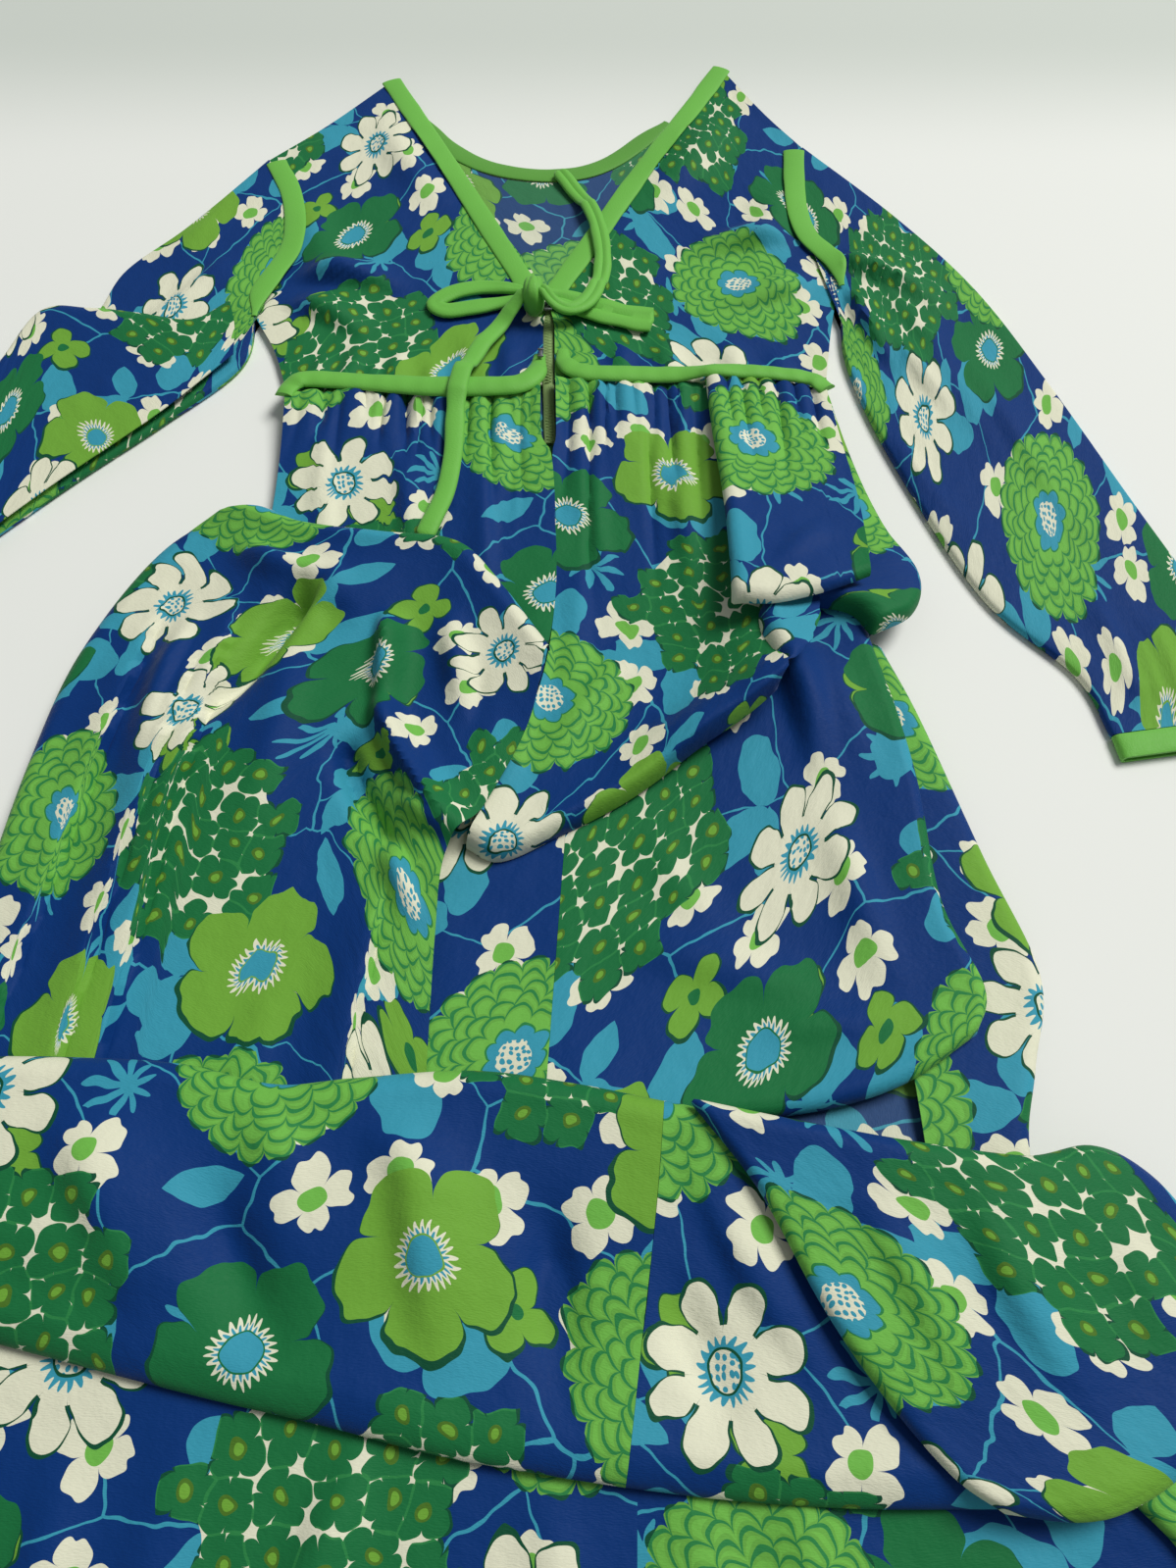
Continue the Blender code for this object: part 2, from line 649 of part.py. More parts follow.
SLEEVE_LEFT = Sleeve(
    "sleeve_left",
    top=apart(reversed(ARMHOLE_LEFT), -ARMHOLE_GAP),
    bottom=((-544, -372), (-598, -300)),
    left=(UNDERARM_LEFT, (-226, 26), (-274, -31), (-335, -95), (-430, -205), (-500, -300), (-544, -372)),
    right=(
        SHOULDER_LEFT, (-290, 180), (-330, 128), (-349, 68), (-410, -10), (-500, -130), (-570, -240), (-598, -300),
    ),
    across=6,
    down=11,
    folds=(
        Fold(-236, 110, -420, -150, 2.2, 14, 0.2, 12, BOTH_FADE),
        Fold(-250, 180, -350, 20, 1.8, 12, 0.0, -8, BOTH_FADE),
        Fold(-400, -80, -540, -300, 2.0, 14, 0.0, 6, BOTH_FADE),
    ),
)

SLEEVE_RIGHT = Sleeve(
    "sleeve_right",
    top=apart(ARMHOLE_RIGHT, ARMHOLE_GAP),
    bottom=((447, -272), (346, -287)),
    left=(SHOULDER_RIGHT, (274, 193), (325, 108), (362, 11), (400, -105), (428, -190), (447, -272)),
    right=((225, 116), (219, 66), (220, 18), (241, -67), (284, -182), (333, -243), (346, -287)),
    across=6,
    down=11,
    folds=(
        Fold(232, 150, 322, -120, 2.0, 14, 0.0, -10, BOTH_FADE),
        Fold(300, 60, 380, -180, 2.2, 13, 0.2, 8, BOTH_FADE),
        Fold(366, -250, 350, -170, 3.0, 8, 0.0, 0, START_OPEN),
        Fold(392, -262, 384, -190, 3.0, 8, 0.0, 2, START_OPEN),
        Fold(418, -262, 408, -200, 2.6, 7, 0.0, -2, START_OPEN),
    ),
)

SLEEVE_LEFT_FOLD = Panel(
    "sleeve_left_fold",
    top=((-240, 84), (-266, 64), (-306, 71), (-345, 77), (-381, 74), (-403, 10), (-446, -56), (-500, -134)),
    bottom=((-232, 34), (-278, -24), (-337, -88), (-380, -138), (-429, -194), (-470, -246), (-498, -288)),
    left=((-240, 84), (-234, 60), (-232, 34)),
    right=((-500, -134), (-506, -210), (-498, -288)),
    across=11,
    down=6,
    rolls=(Roll(3.5, 7, 40), FLAT, FLAT, FLAT),
)

WAIST_GATHERS_LEFT = (
    Fold(-176, -22, -172, -120, 3.6, 5.0, 0.2, 2, START_OPEN),
    Fold(-158, -22, -160, -104, 4.2, 5.0, -0.2, -2, START_OPEN),
    Fold(-141, -22, -138, -132, 4.0, 5.5, 0.2, 3, START_OPEN),
    Fold(-121, -24, -122, -96, 4.6, 5.0, 0.0, -2, START_OPEN),
    Fold(-102, -24, -100, -140, 3.8, 5.5, -0.2, 2, START_OPEN),
    Fold(-83, -24, -86, -110, 4.6, 5.0, 0.2, -3, START_OPEN),
    Fold(-65, -24, -62, -150, 4.4, 5.0, 0.0, 2, START_OPEN),
    Fold(-47, -24, -46, -108, 4.0, 5.0, -0.2, 0, START_OPEN),
    Fold(-29, -22, -28, -160, 5.0, 5.0, 0.2, -2, START_OPEN),
    Fold(-13, -20, -8, -120, 3.6, 4.5, 0.0, 2, START_OPEN),
)
WAIST_GATHERS_RIGHT = (
    Fold(18, -14, 20, -120, 4.0, 5.0, 0.2, 2, START_OPEN),
    Fold(36, -16, 34, -156, 4.8, 5.0, -0.2, -3, START_OPEN),
    Fold(54, -18, 56, -100, 4.2, 5.0, 0.0, 2, START_OPEN),
    Fold(70, -18, 66, -170, 4.6, 5.5, 0.2, -3, START_OPEN),
    Fold(88, -18, 92, -116, 4.0, 5.0, -0.2, 2, START_OPEN),
    Fold(106, -18, 104, -140, 4.4, 5.0, 0.0, -2, START_OPEN),
    Fold(128, -18, 130, -100, 3.6, 5.5, 0.2, 2, START_OPEN),
    Fold(152, -18, 150, -90, 3.2, 5.5, 0.0, 0, START_OPEN),
    Fold(176, -20, 182, -110, 3.4, 5.5, -0.2, 2, START_OPEN),
)

SKIRT_UNDER = Panel(
    "skirt_under",
    top=((-182, -12), (-90, -8), (0, 7), (100, -5), (194, -12)),
    bottom=((-290, -786), (-100, -792), (100, -792), (322, -788)),
    left=(
        (-182, -12), (-176, -60), (-176, -104), (-222, -138), (-258, -200), (-282, -262), (-290, -340),
        (-296, -420), (-298, -520), (-292, -620), (-288, -700), (-290, -786),
    ),
    right=(
        (194, -12), (206, -92), (224, -160), (222, -196), (200, -224), (214, -276), (238, -360), (254, -440),
        (244, -492), (244, -536), (284, -552), (304, -600), (314, -680), (322, -786),
    ),
    across=9,
    down=17,
)

SKIRT_FRONT_LEFT = Panel(
    "skirt_front_left",
    top=((-186, -10), (-120, -4), (-60, -4), (-5.4, 3)),
    bottom=((-188, -168), (-120, -196), (-50, -236), (6, -268)),
    left=((-186, -10), (-184, -65), (-184, -112), (-188, -168)),
    right=((-5.4, 3), (-4, -50), (4, -74), (8, -172), (6, -268)),
    across=28,
    down=5,
    folds=WAIST_GATHERS_LEFT,
)

SKIRT_FRONT_RIGHT = Panel(
    "skirt_front_right",
    top=((4.9, 5), (60, 1), (120, -1), (198.5, -9)),
    bottom=(
        (-40, -364), (-21, -372), (12, -356), (51, -334), (92, -304), (126, -281), (143, -264), (139, -246),
        (134, -226), (139, -209), (166, -204), (192, -208), (204, -224),
    ),
    left=((4.9, 5), (6, -50), (4.6, -74), (8.6, -172), (2, -240), (-14, -300), (-40, -364)),
    right=((198.5, -9), (206, -56), (215, -101), (226, -143), (239, -180), (230, -208), (204, -224)),
    across=25,
    down=7,
    rolls=(FLAT, Roll(13, 10, 60), FLAT, Roll(3, 5, 60)),
    folds=(
        *WAIST_GATHERS_RIGHT,
        Fold(10, -200, -20, -352, 6, 10, 0.3, 6, BOTH_FADE),
        Fold(120, -262, 30, -318, 6, 12, 0.0, -8, BOTH_FADE),
    ),
)

SKIRT_FOLD_LEFT = Panel(
    "skirt_fold_left",
    top=((-210, -122), (-186, -122), (-157, -137), (-104, -150), (-56, -157), (-30, -184), (4, -236)),
    bottom=((-310, -535), (-230, -535), (-140, -535), (-54, -535)),
    left=((-210, -122), (-252, -156), (-288, -232), (-302, -310), (-308, -390), (-311, -470), (-310, -535)),
    right=((4, -236), (-6, -290), (-30, -345), (-50, -372), (-54, -420), (-54, -490), (-54, -535)),
    across=12,
    down=15,
    rolls=(Roll(15, 12, 45), FLAT, Roll(9, 10, 90), FLAT),
    folds=(
        Fold(-150, -180, -232, -262, 9, 15, 0.0, -14, BOTH_FADE),
        Fold(-60, -196, -20, -330, 8, 14, 0.0, 6, BOTH_FADE),
        Fold(-110, -330, -30, -362, 12, 11, -0.3, 6, BOTH_FADE),
        Fold(-214, -262, -236, -500, 3.2, 8, 0.5, -4, BOTH_FADE),
        Fold(-246, -232, -258, -500, 3.2, 8, 0.5, -6, BOTH_FADE),
        Fold(-94, -376, -103, -510, 2.6, 7, 0.5, 0, BOTH_FADE),
    ),
)

SKIRT_MIDDLE_LEFT = Panel(
    "skirt_middle_left",
    top=((-74, -330), (-30, -320), (19, -310)),
    bottom=((-76, -538), (-30, -540), (7, -541)),
    left=((-74, -330), (-76, -430), (-76, -538)),
    right=((19, -310), (15, -363), (8, -490), (7, -541)),
    across=5,
    down=7,
)

SKIRT_MIDDLE_RIGHT = Panel(
    "skirt_middle_right",
    top=((19.6, -310), (60, -280), (110, -240), (150, -196), (200, -182)),
    bottom=((8, -520), (60, -520), (110, -516), (153, -510), (190, -498), (228, -474)),
    left=((19.6, -310), (15.6, -363), (8.6, -490), (8, -520)),
    right=((200, -182), (203, -222), (213, -276), (219, -329), (221, -400), (236, -450), (228, -474)),
    across=9,
    down=9,
    rolls=(FLAT, Roll(7, 8, 50), FLAT, Roll(6, 7, 60)),
    folds=(
        Fold(143, -206, 164, -336, 11, 12, -0.3, -6, BOTH_FADE),
        Fold(166, -330, 196, -470, 5, 12, 0.0, 4, BOTH_FADE),
        Fold(30, -420, 180, -470, 5, 14, 0.0, -8, BOTH_FADE),
    ),
)

SKIRT_EDGE_RIGHT = Panel(
    "skirt_edge_right",
    top=((176, -214), (196, -222), (212, -228)),
    bottom=((196, -552), (222, -550), (245, -546)),
    left=((176, -214), (182, -300), (190, -400), (194, -480), (196, -552)),
    right=((212, -228), (229, -279), (252, -370), (270, -440), (258, -488), (248, -520), (245, -546)),
    across=3,
    down=9,
    rolls=(FLAT, FLAT, FLAT, Roll(5, 7, 60)),
)

SKIRT_PLEAT_RIGHT = Panel(
    "skirt_pleat_right",
    top=((113, -1), (155, -2), (196, -12)),
    bottom=((117, -214), (140, -216), (168, -208), (202, -192)),
    left=((113, -1), (115, -60), (118, -121), (118, -175), (117, -214)),
    right=((196, -12), (200, -62), (204, -115), (204, -156), (202, -192)),
    across=7,
    down=6,
    rolls=(FLAT, Roll(6, 7, 50), Roll(5, 6, 50), FLAT),
    folds=(
        Fold(133, -22, 136, -120, 3.0, 6, 0.0, 2, START_OPEN),
        Fold(160, -24, 158, -140, 3.0, 7, 0.0, -2, START_OPEN),
        Fold(186, -150, 140, -196, 3.0, 9, 0.0, 4, BOTH_FADE),
    ),
)

SKIRT_HEM_LEFT = Panel(
    "skirt_hem_left",
    top=((-298, -590), (-120, -590), (52, -590)),
    bottom=((-300, -796), (-120, -802), (48, -802)),
    left=((-298, -590), (-302, -690), (-300, -796)),
    right=((52, -590), (50, -690), (48, -802)),
    across=9,
    down=6,
    rolls=(FLAT, FLAT, Roll(3, 5, 60), FLAT),
    folds=(
        Fold(-60, -640, -110, -790, 6, 13, 0.0, 6, BOTH_FADE),
        Fold(-200, -650, -230, -780, 4, 14, 0.0, -6, BOTH_FADE),
        Fold(10, -660, 24, -790, 3, 12, 0.0, 0, BOTH_FADE),
    ),
)

SKIRT_HEM_RIGHT = Panel(
    "skirt_hem_right",
    top=((52.6, -590), (160, -590), (262, -590)),
    bottom=((48.6, -802), (190, -802), (330, -796)),
    left=((52.6, -590), (50.6, -690), (48.6, -802)),
    right=((262, -590), (296, -660), (322, -730), (330, -796)),
    across=8,
    down=6,
    rolls=(FLAT, FLAT, FLAT, Roll(3, 5, 60)),
    folds=(
        Fold(120, -650, 140, -790, 4, 14, 0.0, 4, BOTH_FADE),
        Fold(210, -690, 250, -790, 3, 14, 0.0, 4, BOTH_FADE),
    ),
)

SKIRT_CORNER_RIGHT = Panel(
    "skirt_corner_right",
    top=((248, -628), (290, -622), (334, -626)),
    bottom=((316, -780), (330, -784), (344, -784)),
    left=((248, -628), (258, -668), (284, -698), (300, -736), (316, -780)),
    right=((334, -626), (342, -700), (344, -784)),
    across=3,
    down=5,
    rolls=(FLAT, FLAT, Roll(5, 7, 60), Roll(3, 5, 60)),
)

SKIRT_BAND_LEFT = Panel(
    "skirt_band_left",
    top=(
        (-308, -489), (-230, -490), (-176, -493), (-128, -503), (-90, -500), (-30, -496), (20, -502), (66, -511),
    ),
    bottom=((-304, -602), (-240, -617), (-151, -637), (-91, -649), (-37, -661), (8, -668), (45, -673)),
    left=((-308, -489), (-314, -545), (-304, -602)),
    right=((66, -511), (61, -560), (53, -618), (45, -673)),
    across=14,
    down=5,
    rolls=(Roll(9, 10, 70), Roll(7, 14, 40), Roll(7, 9, 90), FLAT),
    folds=(
        Fold(-60, -520, -30, -640, 4, 18, 0.0, 6, BOTH_FADE),
        Fold(-230, -520, -180, -610, 4, 18, 0.0, -6, BOTH_FADE),
        Fold(-140, -512, -100, -560, 4, 12, 0.0, 0, BOTH_FADE),
    ),
)

SKIRT_BAND_MIDDLE = Panel(
    "skirt_band_middle",
    top=((66.6, -511), (110, -519), (160, -528), (210, -536)),
    bottom=((45.6, -673), (93, -678), (150, -681), (215, -681)),
    left=((66.6, -511), (61.6, -560), (53.6, -618), (45.6, -673)),
    right=((210, -536), (216, -600), (215, -681)),
    across=5,
    down=5,
    rolls=(Roll(9, 10, 70), Roll(7, 14, 40), FLAT, FLAT),
    folds=(Fold(92, -530, 150, -640, 5, 12, 0.0, 6, BOTH_FADE),),
)

SKIRT_BAND_RIGHT = Panel(
    "skirt_band_right",
    top=((80, -512), (133, -523), (190, -533), (240, -538), (275, -532), (300, -543), (320, -568)),
    bottom=((207, -682), (238, -685), (262, -680), (292, -664), (334, -632)),
    left=((80, -512), (110, -552), (136, -602), (160, -638), (186, -668), (207, -682)),
    right=((320, -568), (332, -598), (334, -632)),
    across=9,
    down=5,
    rolls=(Roll(6, 9, 50), Roll(6, 12, 40), Roll(4, 6, 60), Roll(3, 6, 60)),
    folds=(
        Fold(210, -548, 262, -650, 5, 18, 0.0, 8, BOTH_FADE),
        Fold(150, -545, 196, -630, 3, 16, 0.0, -4, BOTH_FADE),
    ),
)

NECK_BINDING_LEFT = ((-140, 364), (-104, 290), (-66, 212), (-38, 152), (-23, 121))
NECK_BINDING_RIGHT = ((143, 384), (104, 306), (62, 226), (32, 162), (13, 124))
NECK_BINDING_BACK = ((-114, 325), (-92, 289), (-53, 259), (0, 249), (45, 264), (96, 319))
ARMHOLE_BINDING_LEFT = ((-229, 258), (-213, 222), (-204, 182), (-204, 150), (-214, 120), (-221, 98), (-222, 74))
ARMHOLE_BINDING_RIGHT = ((200, 274), (197, 235), (196, 195), (200, 162), (212, 140), (219, 112))
WAIST_BAND_LEFT = ((-188, -15), (-179, -3), (-160, 3), (-127, 3), (-72, -5), (-40, -2), (-13, 4))
WAIST_BAND_RIGHT = ((13, 20), (30, 13), (60, 12), (117, 12), (165, 10), (188, 2), (199, -10))
ZIP_LINE = ((-1.4, 86), (-0.8, 30), (0.6, -20), (2, -50))

HOOK_PLACE, HOOK_SIZE = (-6, 30), (5.0, 9.0, 2.0)
SLIDER_PLACE, SLIDER_SIZE = (-1.5, 84), (7.0, 9.0, 3.0)
KNOT_PLACE, KNOT_SIZE = (-12, 111), (17.0, 20.0, 12.0)
BOW_LOOP_LEFT = ((-21, 117), (-48, 121), (-78, 112), (-96, 96), (-86, 83), (-58, 88), (-21, 105))
BOW_LOOP_RIGHT = ((-3, 117), (28, 112), (56, 100), (75, 84), (60, 71), (34, 82), (-3, 105))
TIE_TAIL_DOWN = (
    (-17, 100), (-30, 88), (-46, 74), (-59, 52), (-64, 26), (-65, -18), (-67, -66), (-74, -116), (-82, -150),
)
TIE_TAIL_UP = ((-3, 99), (10, 93), (23, 99), (33, 118), (38, 141), (32, 177), (20, 220), (2, 256))


def clear_scene():
    for item in list(bpy.data.objects):
        bpy.data.objects.remove(item, do_unlink=True)


def flat_bindings():
    """The bindings of the neck's front and of the armholes."""
    neck = (("neck_binding_left", NECK_BINDING_LEFT), ("neck_binding_right", NECK_BINDING_RIGHT))
    armholes = (("armhole_binding_left", ARMHOLE_BINDING_LEFT), ("armhole_binding_right", ARMHOLE_BINDING_RIGHT))
    strips = [strip_panel(name, path, NECK_BINDING_WIDTH, BINDING_CROWN, STRIP_CELLS) for name, path in neck]
    for name, path in armholes:
        strips.append(strip_panel(name, path, ARMHOLE_BINDING_WIDTH, BINDING_CROWN, STRIP_CELLS))
    return strips


def waist_bands():
    """The two padded bands over the waist seam."""
    bands = (("waist_band_left", WAIST_BAND_LEFT), ("waist_band_right", WAIST_BAND_RIGHT))
    return [strip_panel(name, path, BAND_WIDTH, BAND_CROWN, BAND_CELLS) for name, path in bands]


def build_ties(pile):
    """The bow: its knot, two loops, and two tails."""
    tie("tie_tail_down", TIE_TAIL_DOWN, pile)
    tie("tie_tail_up", TIE_TAIL_UP, pile)
    tie("bow_loop_left", BOW_LOOP_LEFT, pile, BOW_TIE_WIDTH)
    tie("bow_loop_right", BOW_LOOP_RIGHT, pile, BOW_TIE_WIDTH)
    rounded_block("bow_knot", KNOT_PLACE, KNOT_SIZE, "lime", pile)


def build_dress():
    """Every piece, in the order in which it lies on the others."""
    pile = Pile()
    back_grid = panel_grid(BODICE_BACK)
    back_under = np.dstack([back_grid, np.zeros(back_grid.shape[:2])])
    build_hidden_layers(SKIRT_UNDER, pile)
    settle([cloth_wall(BODICE_BACK.name, back_under, WALL, BODICE_BACK.colour)], pile)
    lay_strips(
        [strip_panel("neck_binding_back", NECK_BINDING_BACK, BACK_BINDING_WIDTH, BACK_CROWN, STRIP_CELLS)], pile
    )
    lay_strips([strip_panel("zip_tape", ZIP_LINE, ZIP_WIDTH, ZIP_CROWN, ZIP_CELLS, "olive")], pile)
    lay([BODICE_FRONT_LEFT, BODICE_FRONT_RIGHT], pile)
    lay([SKIRT_EDGE_RIGHT], pile)
    lay([SKIRT_FRONT_LEFT], pile)
    lay([SKIRT_MIDDLE_LEFT], pile)
    build_sleeve(SLEEVE_LEFT, pile)
    build_sleeve(SLEEVE_RIGHT, pile)
    build_cuff("cuff_binding_left", *SLEEVE_LEFT.bottom, pile)
    build_cuff("cuff_binding_right", *SLEEVE_RIGHT.bottom, pile)
    lay([SLEEVE_LEFT_FOLD], pile)
    lay([SKIRT_MIDDLE_RIGHT], pile)
    lay([SKIRT_FRONT_RIGHT], pile)
    lay([SKIRT_PLEAT_RIGHT], pile)
    lay_strips(flat_bindings(), pile)
    lay_strips(waist_bands(), pile, thickness=WALL)
    rounded_block("waist_hook", HOOK_PLACE, HOOK_SIZE, "metal", pile)
    rounded_block("zip_slider", SLIDER_PLACE, SLIDER_SIZE, "metal", pile)
    build_ties(pile)
    lay([SKIRT_FOLD_LEFT], pile)
    lay([SKIRT_HEM_LEFT, SKIRT_HEM_RIGHT], pile)
    lay([SKIRT_CORNER_RIGHT], pile)
    lay([SKIRT_BAND_LEFT, SKIRT_BAND_MIDDLE], pile)
    lay([SKIRT_BAND_RIGHT], pile)


clear_scene()
build_dress()
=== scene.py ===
"""Looks of a long-sleeved floral maxi dress, laid out with its skirt folded up in a heap.

Outlines and folds are in millimetres in the tables, and the finished pieces in metres, in the
part's own frame: the origin is at the centre front on the waist seam, +Y runs to the neck.
"""

import math
from collections import namedtuple

import bmesh
import bpy
import numpy as np
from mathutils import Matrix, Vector
from bpy.props import FloatProperty, FloatVectorProperty, PointerProperty


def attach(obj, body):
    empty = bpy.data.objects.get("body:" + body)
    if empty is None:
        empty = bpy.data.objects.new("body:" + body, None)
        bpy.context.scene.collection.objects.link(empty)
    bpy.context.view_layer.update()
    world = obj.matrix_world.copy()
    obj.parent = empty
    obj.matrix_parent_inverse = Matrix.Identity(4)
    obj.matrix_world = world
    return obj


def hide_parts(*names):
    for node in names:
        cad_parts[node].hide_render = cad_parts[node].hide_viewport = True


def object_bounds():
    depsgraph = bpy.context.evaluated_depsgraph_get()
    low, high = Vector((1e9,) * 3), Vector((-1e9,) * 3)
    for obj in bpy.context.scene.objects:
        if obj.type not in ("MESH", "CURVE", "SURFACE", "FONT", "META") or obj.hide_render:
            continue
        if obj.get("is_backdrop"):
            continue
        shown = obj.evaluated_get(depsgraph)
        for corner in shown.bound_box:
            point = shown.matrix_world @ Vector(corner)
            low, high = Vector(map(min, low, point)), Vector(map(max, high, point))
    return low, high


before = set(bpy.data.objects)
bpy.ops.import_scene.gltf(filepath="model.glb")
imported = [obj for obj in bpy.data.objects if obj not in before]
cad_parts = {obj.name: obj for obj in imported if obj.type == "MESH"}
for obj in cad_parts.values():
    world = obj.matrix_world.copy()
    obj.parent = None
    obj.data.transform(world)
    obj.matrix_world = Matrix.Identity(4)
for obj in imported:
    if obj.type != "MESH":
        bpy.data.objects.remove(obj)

bl_info = {
    "name": "Floral maxi dress",
    "version": (1, 0, 0),
    "blender": (4, 5, 0),
    "location": "View3D > Sidebar > Dress",
    "description": "Cloth, bindings, zip and bow of a folded floral maxi dress",
    "category": "Object",
}

MM = 0.001

# The wall of a cloth solid, and the gap at a seam.
WALL, GAP = 1.4, 0.3
# A flattened sleeve's height, and how far in from its sides its folds start.
TUBE_HEIGHT, FOLD_START = 6.4, 12.0
CUFF_HEIGHT, CUFF_WALL, CUFF_SEAM, CUFF_DEPTH, CUFF_CROWN = 7.4, 1.9, 0.8, 16.0, 0.9
ARMHOLE_GAP, BACK_INSET, SEAM_GAP = 4.5, 12.0, 0.05
# A strip narrows towards its ends, and a tie is pinched, over these distances.
END_REACH, PINCH_REACH = 18.0, 20.0
ZIP_WIDTH, ZIP_CROWN, ZIP_RUN = 8.6, 1.5, 136
TOOTH_SIZE, TOOTH_SHIFT = (1.9, 0.62, 0.5), 0.7
# The binding behind the neck: its crown in millimetres and its length in metres.
BACK_BINDING_CROWN, BACK_BINDING_LENGTH = 0.8, 0.25
# The raster that keeps the height of what is laid.
RASTER_CELL = 2.5
RASTER_LOW, RASTER_HIGH = (-680.0, -860.0), (480.0, 440.0)
# How a panel settles: the smoothing of its coarse and of its fine grid, and how far it looks around.
DRAPE_STEPS, SETTLE_STEPS, DRAPE_REACH, LOOK_AROUND = 14, 30, 24.0, 1.2
# Two waves of unevenness, the second one's share, and the strip along the edges that stays even.
LONG_RIPPLE, SHORT_RIPPLE, SHORT_SHARE, EVEN_EDGE = 70.0, 31.0, 0.45, 14.0
SLEEVE_LONG_RIPPLE, SLEEVE_SHORT_RIPPLE, SLEEVE_SINK = 56.0, 24.0, 0.6
FOLD_FADE_OUT, FOLD_STRENGTH = 0.6, 1.25
# A fold that leans this far is a pleat. It hides this much of the print, from its edge's width on.
STEEP, TUCK, PLEAT_EDGE, PLEAT_START = 0.8, 22.0, 1.4, 0.3
SEAM_REACH = 22.0
STATION_SPACING, STATION_HAIRLINE, ROLL_LIMIT = 0.22, 0.02, 0.45
# A binding's crosswise points and lengthwise spacing, the points over which its unevenness is
# smoothed, the share by which its width varies, and how many times more it puckers at its ends.
STRIP_POINTS, STRIP_CELL, UNEVEN_POINTS, UNEVEN_WIDTH, END_PUCKER = 13, 2.6, 13, 0.05, 5
# The wave of its stitches and their share of the puckers, and the wall's share at its edges.
STITCH_WAVE, STITCH_SHARE, EDGE_WALL = 2.4, 0.8, 0.35
# How a strip and a tie settle: rounds of smoothing, and how far each looks around.
STRIP_STEPS, STRIP_LOOK, TIE_STEPS, TIE_LOOK = 60, 1.0, 30, 1.5
TIE_CELL, TIE_SIDES, TIE_SQUARENESS, GROOVE_WIDTH = 2.0, 24, 0.86, 0.2
# The share and wave of a tie's unevenness, and the print round it against its width.
TIE_UNEVEN, TIE_WAVE, TIE_ROUND = 0.06, 13.0, 2.4
# Cells across and rows down a sleeve and a cuff, and those of the hidden layers.
SLEEVE_CELLS, SLEEVE_ROWS, CUFF_CELLS, CUFF_ROWS = 34, 120, 26, 12
UNDER_CELLS, UNDER_ROWS = 70, 130
# The right loop is one strap made of both its strands, this much wider than one strand.
DOUBLED = 1.75
# The least share of its rectangle that a sheet's cut is taken to cover.
LEAST_CUT = 0.31
SHARP_ANGLE = math.radians(50)
FLOOR_HALF, FLOOR_LEVEL = 4.0, -0.0003
# Painted shade on the floor: the far floor's share of the floor colour, and where along Y, in metres, it
# starts and ends.
FAR_FLOOR_PAINTED_SHADE, FAR_FLOOR_START, FAR_FLOOR_END = (0.74, 0.775, 0.75), 0.26, 0.46
CAMERA_PLACE, CAMERA_TILT = (0.0285, -0.630, 0.600), math.radians(27.5)
WINDOW_PLACE, WINDOW_AIM, WINDOW_SIZE = (5.8, 3.6, 9.2), (0.0, -0.15, 0.0), 5.0
SKY_COLOUR, WINDOW_COLOUR = (0.93, 0.96, 1.0), (1.0, 0.98, 0.95)


def srgb(red, green, blue):
    """A colour as read off a screen, 0 to 255, as linear light."""
    shares = (red / 255, green / 255, blue / 255)
    return tuple(c / 12.92 if c <= 0.04045 else ((c + 0.055) / 1.055) ** 2.4 for c in shares)


def dimmed(colour, share):
    """A colour at a share of its strength."""
    return tuple(share * part for part in colour)


def colour_property(name, description, default):
    """A colour setting."""
    return FloatVectorProperty(
        name=name, description=description, default=default, subtype="COLOR", size=3, min=0.0, max=1.0
    )


def size_property(name, description, default, **limits):
    """A size setting in millimetres."""
    return FloatProperty(name=name, description=description + ", in millimetres", default=default, **limits)


class DressCloth(bpy.types.PropertyGroup):
    """Sizes of the cloth panels."""

    cell: size_property("Cell", "Spacing of the points in a panel", 3.2, min=2.0, max=20.0)
    thickness: size_property("Thickness", "Thickness of the cloth", 0.8, min=0.2, max=1.4)
    ripple: size_property("Ripple", "Height of the small unevenness of laid cloth", 1.0, min=0.0)


class DressPrint(bpy.types.PropertyGroup):
    """Colours of the printed flowers."""

    ground: colour_property("Ground", "Royal blue between the flowers", srgb(2, 52, 117))
    turquoise: colour_property("Turquoise", "Leaves, stems and flower centres", srgb(56, 152, 176))
    lime: colour_property("Lime", "Scales of the large flowers", srgb(112, 184, 76))
    leaf: colour_property("Leaf green", "Florets and dark flowers", srgb(26, 112, 62))
    outline: colour_property("Outline", "Dark green rims", srgb(12, 78, 52))
    line_green: colour_property("Line green", "Lines between scales and florets", srgb(44, 130, 70))
    olive: colour_property("Olive", "Broad-petalled flowers", srgb(112, 168, 58))
    cream: colour_property("Cream", "Blossoms", srgb(226, 227, 202))
    inside: colour_property("Inside", "Pale tint of the cloth's wrong side", srgb(128, 158, 150))


class DressTrim(bpy.types.PropertyGroup):
    """Sizes and colours of the bindings, bands, ties and zip."""

    binding_width: size_property("Binding width", "Width of the flat bindings", 17.0, min=4.0)
    binding_crown: size_property("Binding crown", "Height of a binding's middle over its edges", 1.0)
    band_width: size_property("Band width", "Width of the padded waist bands", 18.0, min=6.0)
    band_crown: size_property("Band crown", "Height of a waist band's middle", 3.6)
    tie_width: size_property("Tie width", "Width of a tie's tail", 13.4, min=4.0)
    loop_width: size_property("Loop width", "Width of a bow loop's cloth", 14.0)
    tie_thickness: size_property("Tie thickness", "Thickness of a tie", 5.6)
    coil_pitch: size_property("Coil pitch", "Spacing of the zip's teeth", 1.5)
    colour: colour_property("Lime cloth", "Bindings, bands and ties", srgb(112, 190, 74))
    zip_colour: colour_property("Zip", "Olive tape and coil", srgb(140, 170, 104))


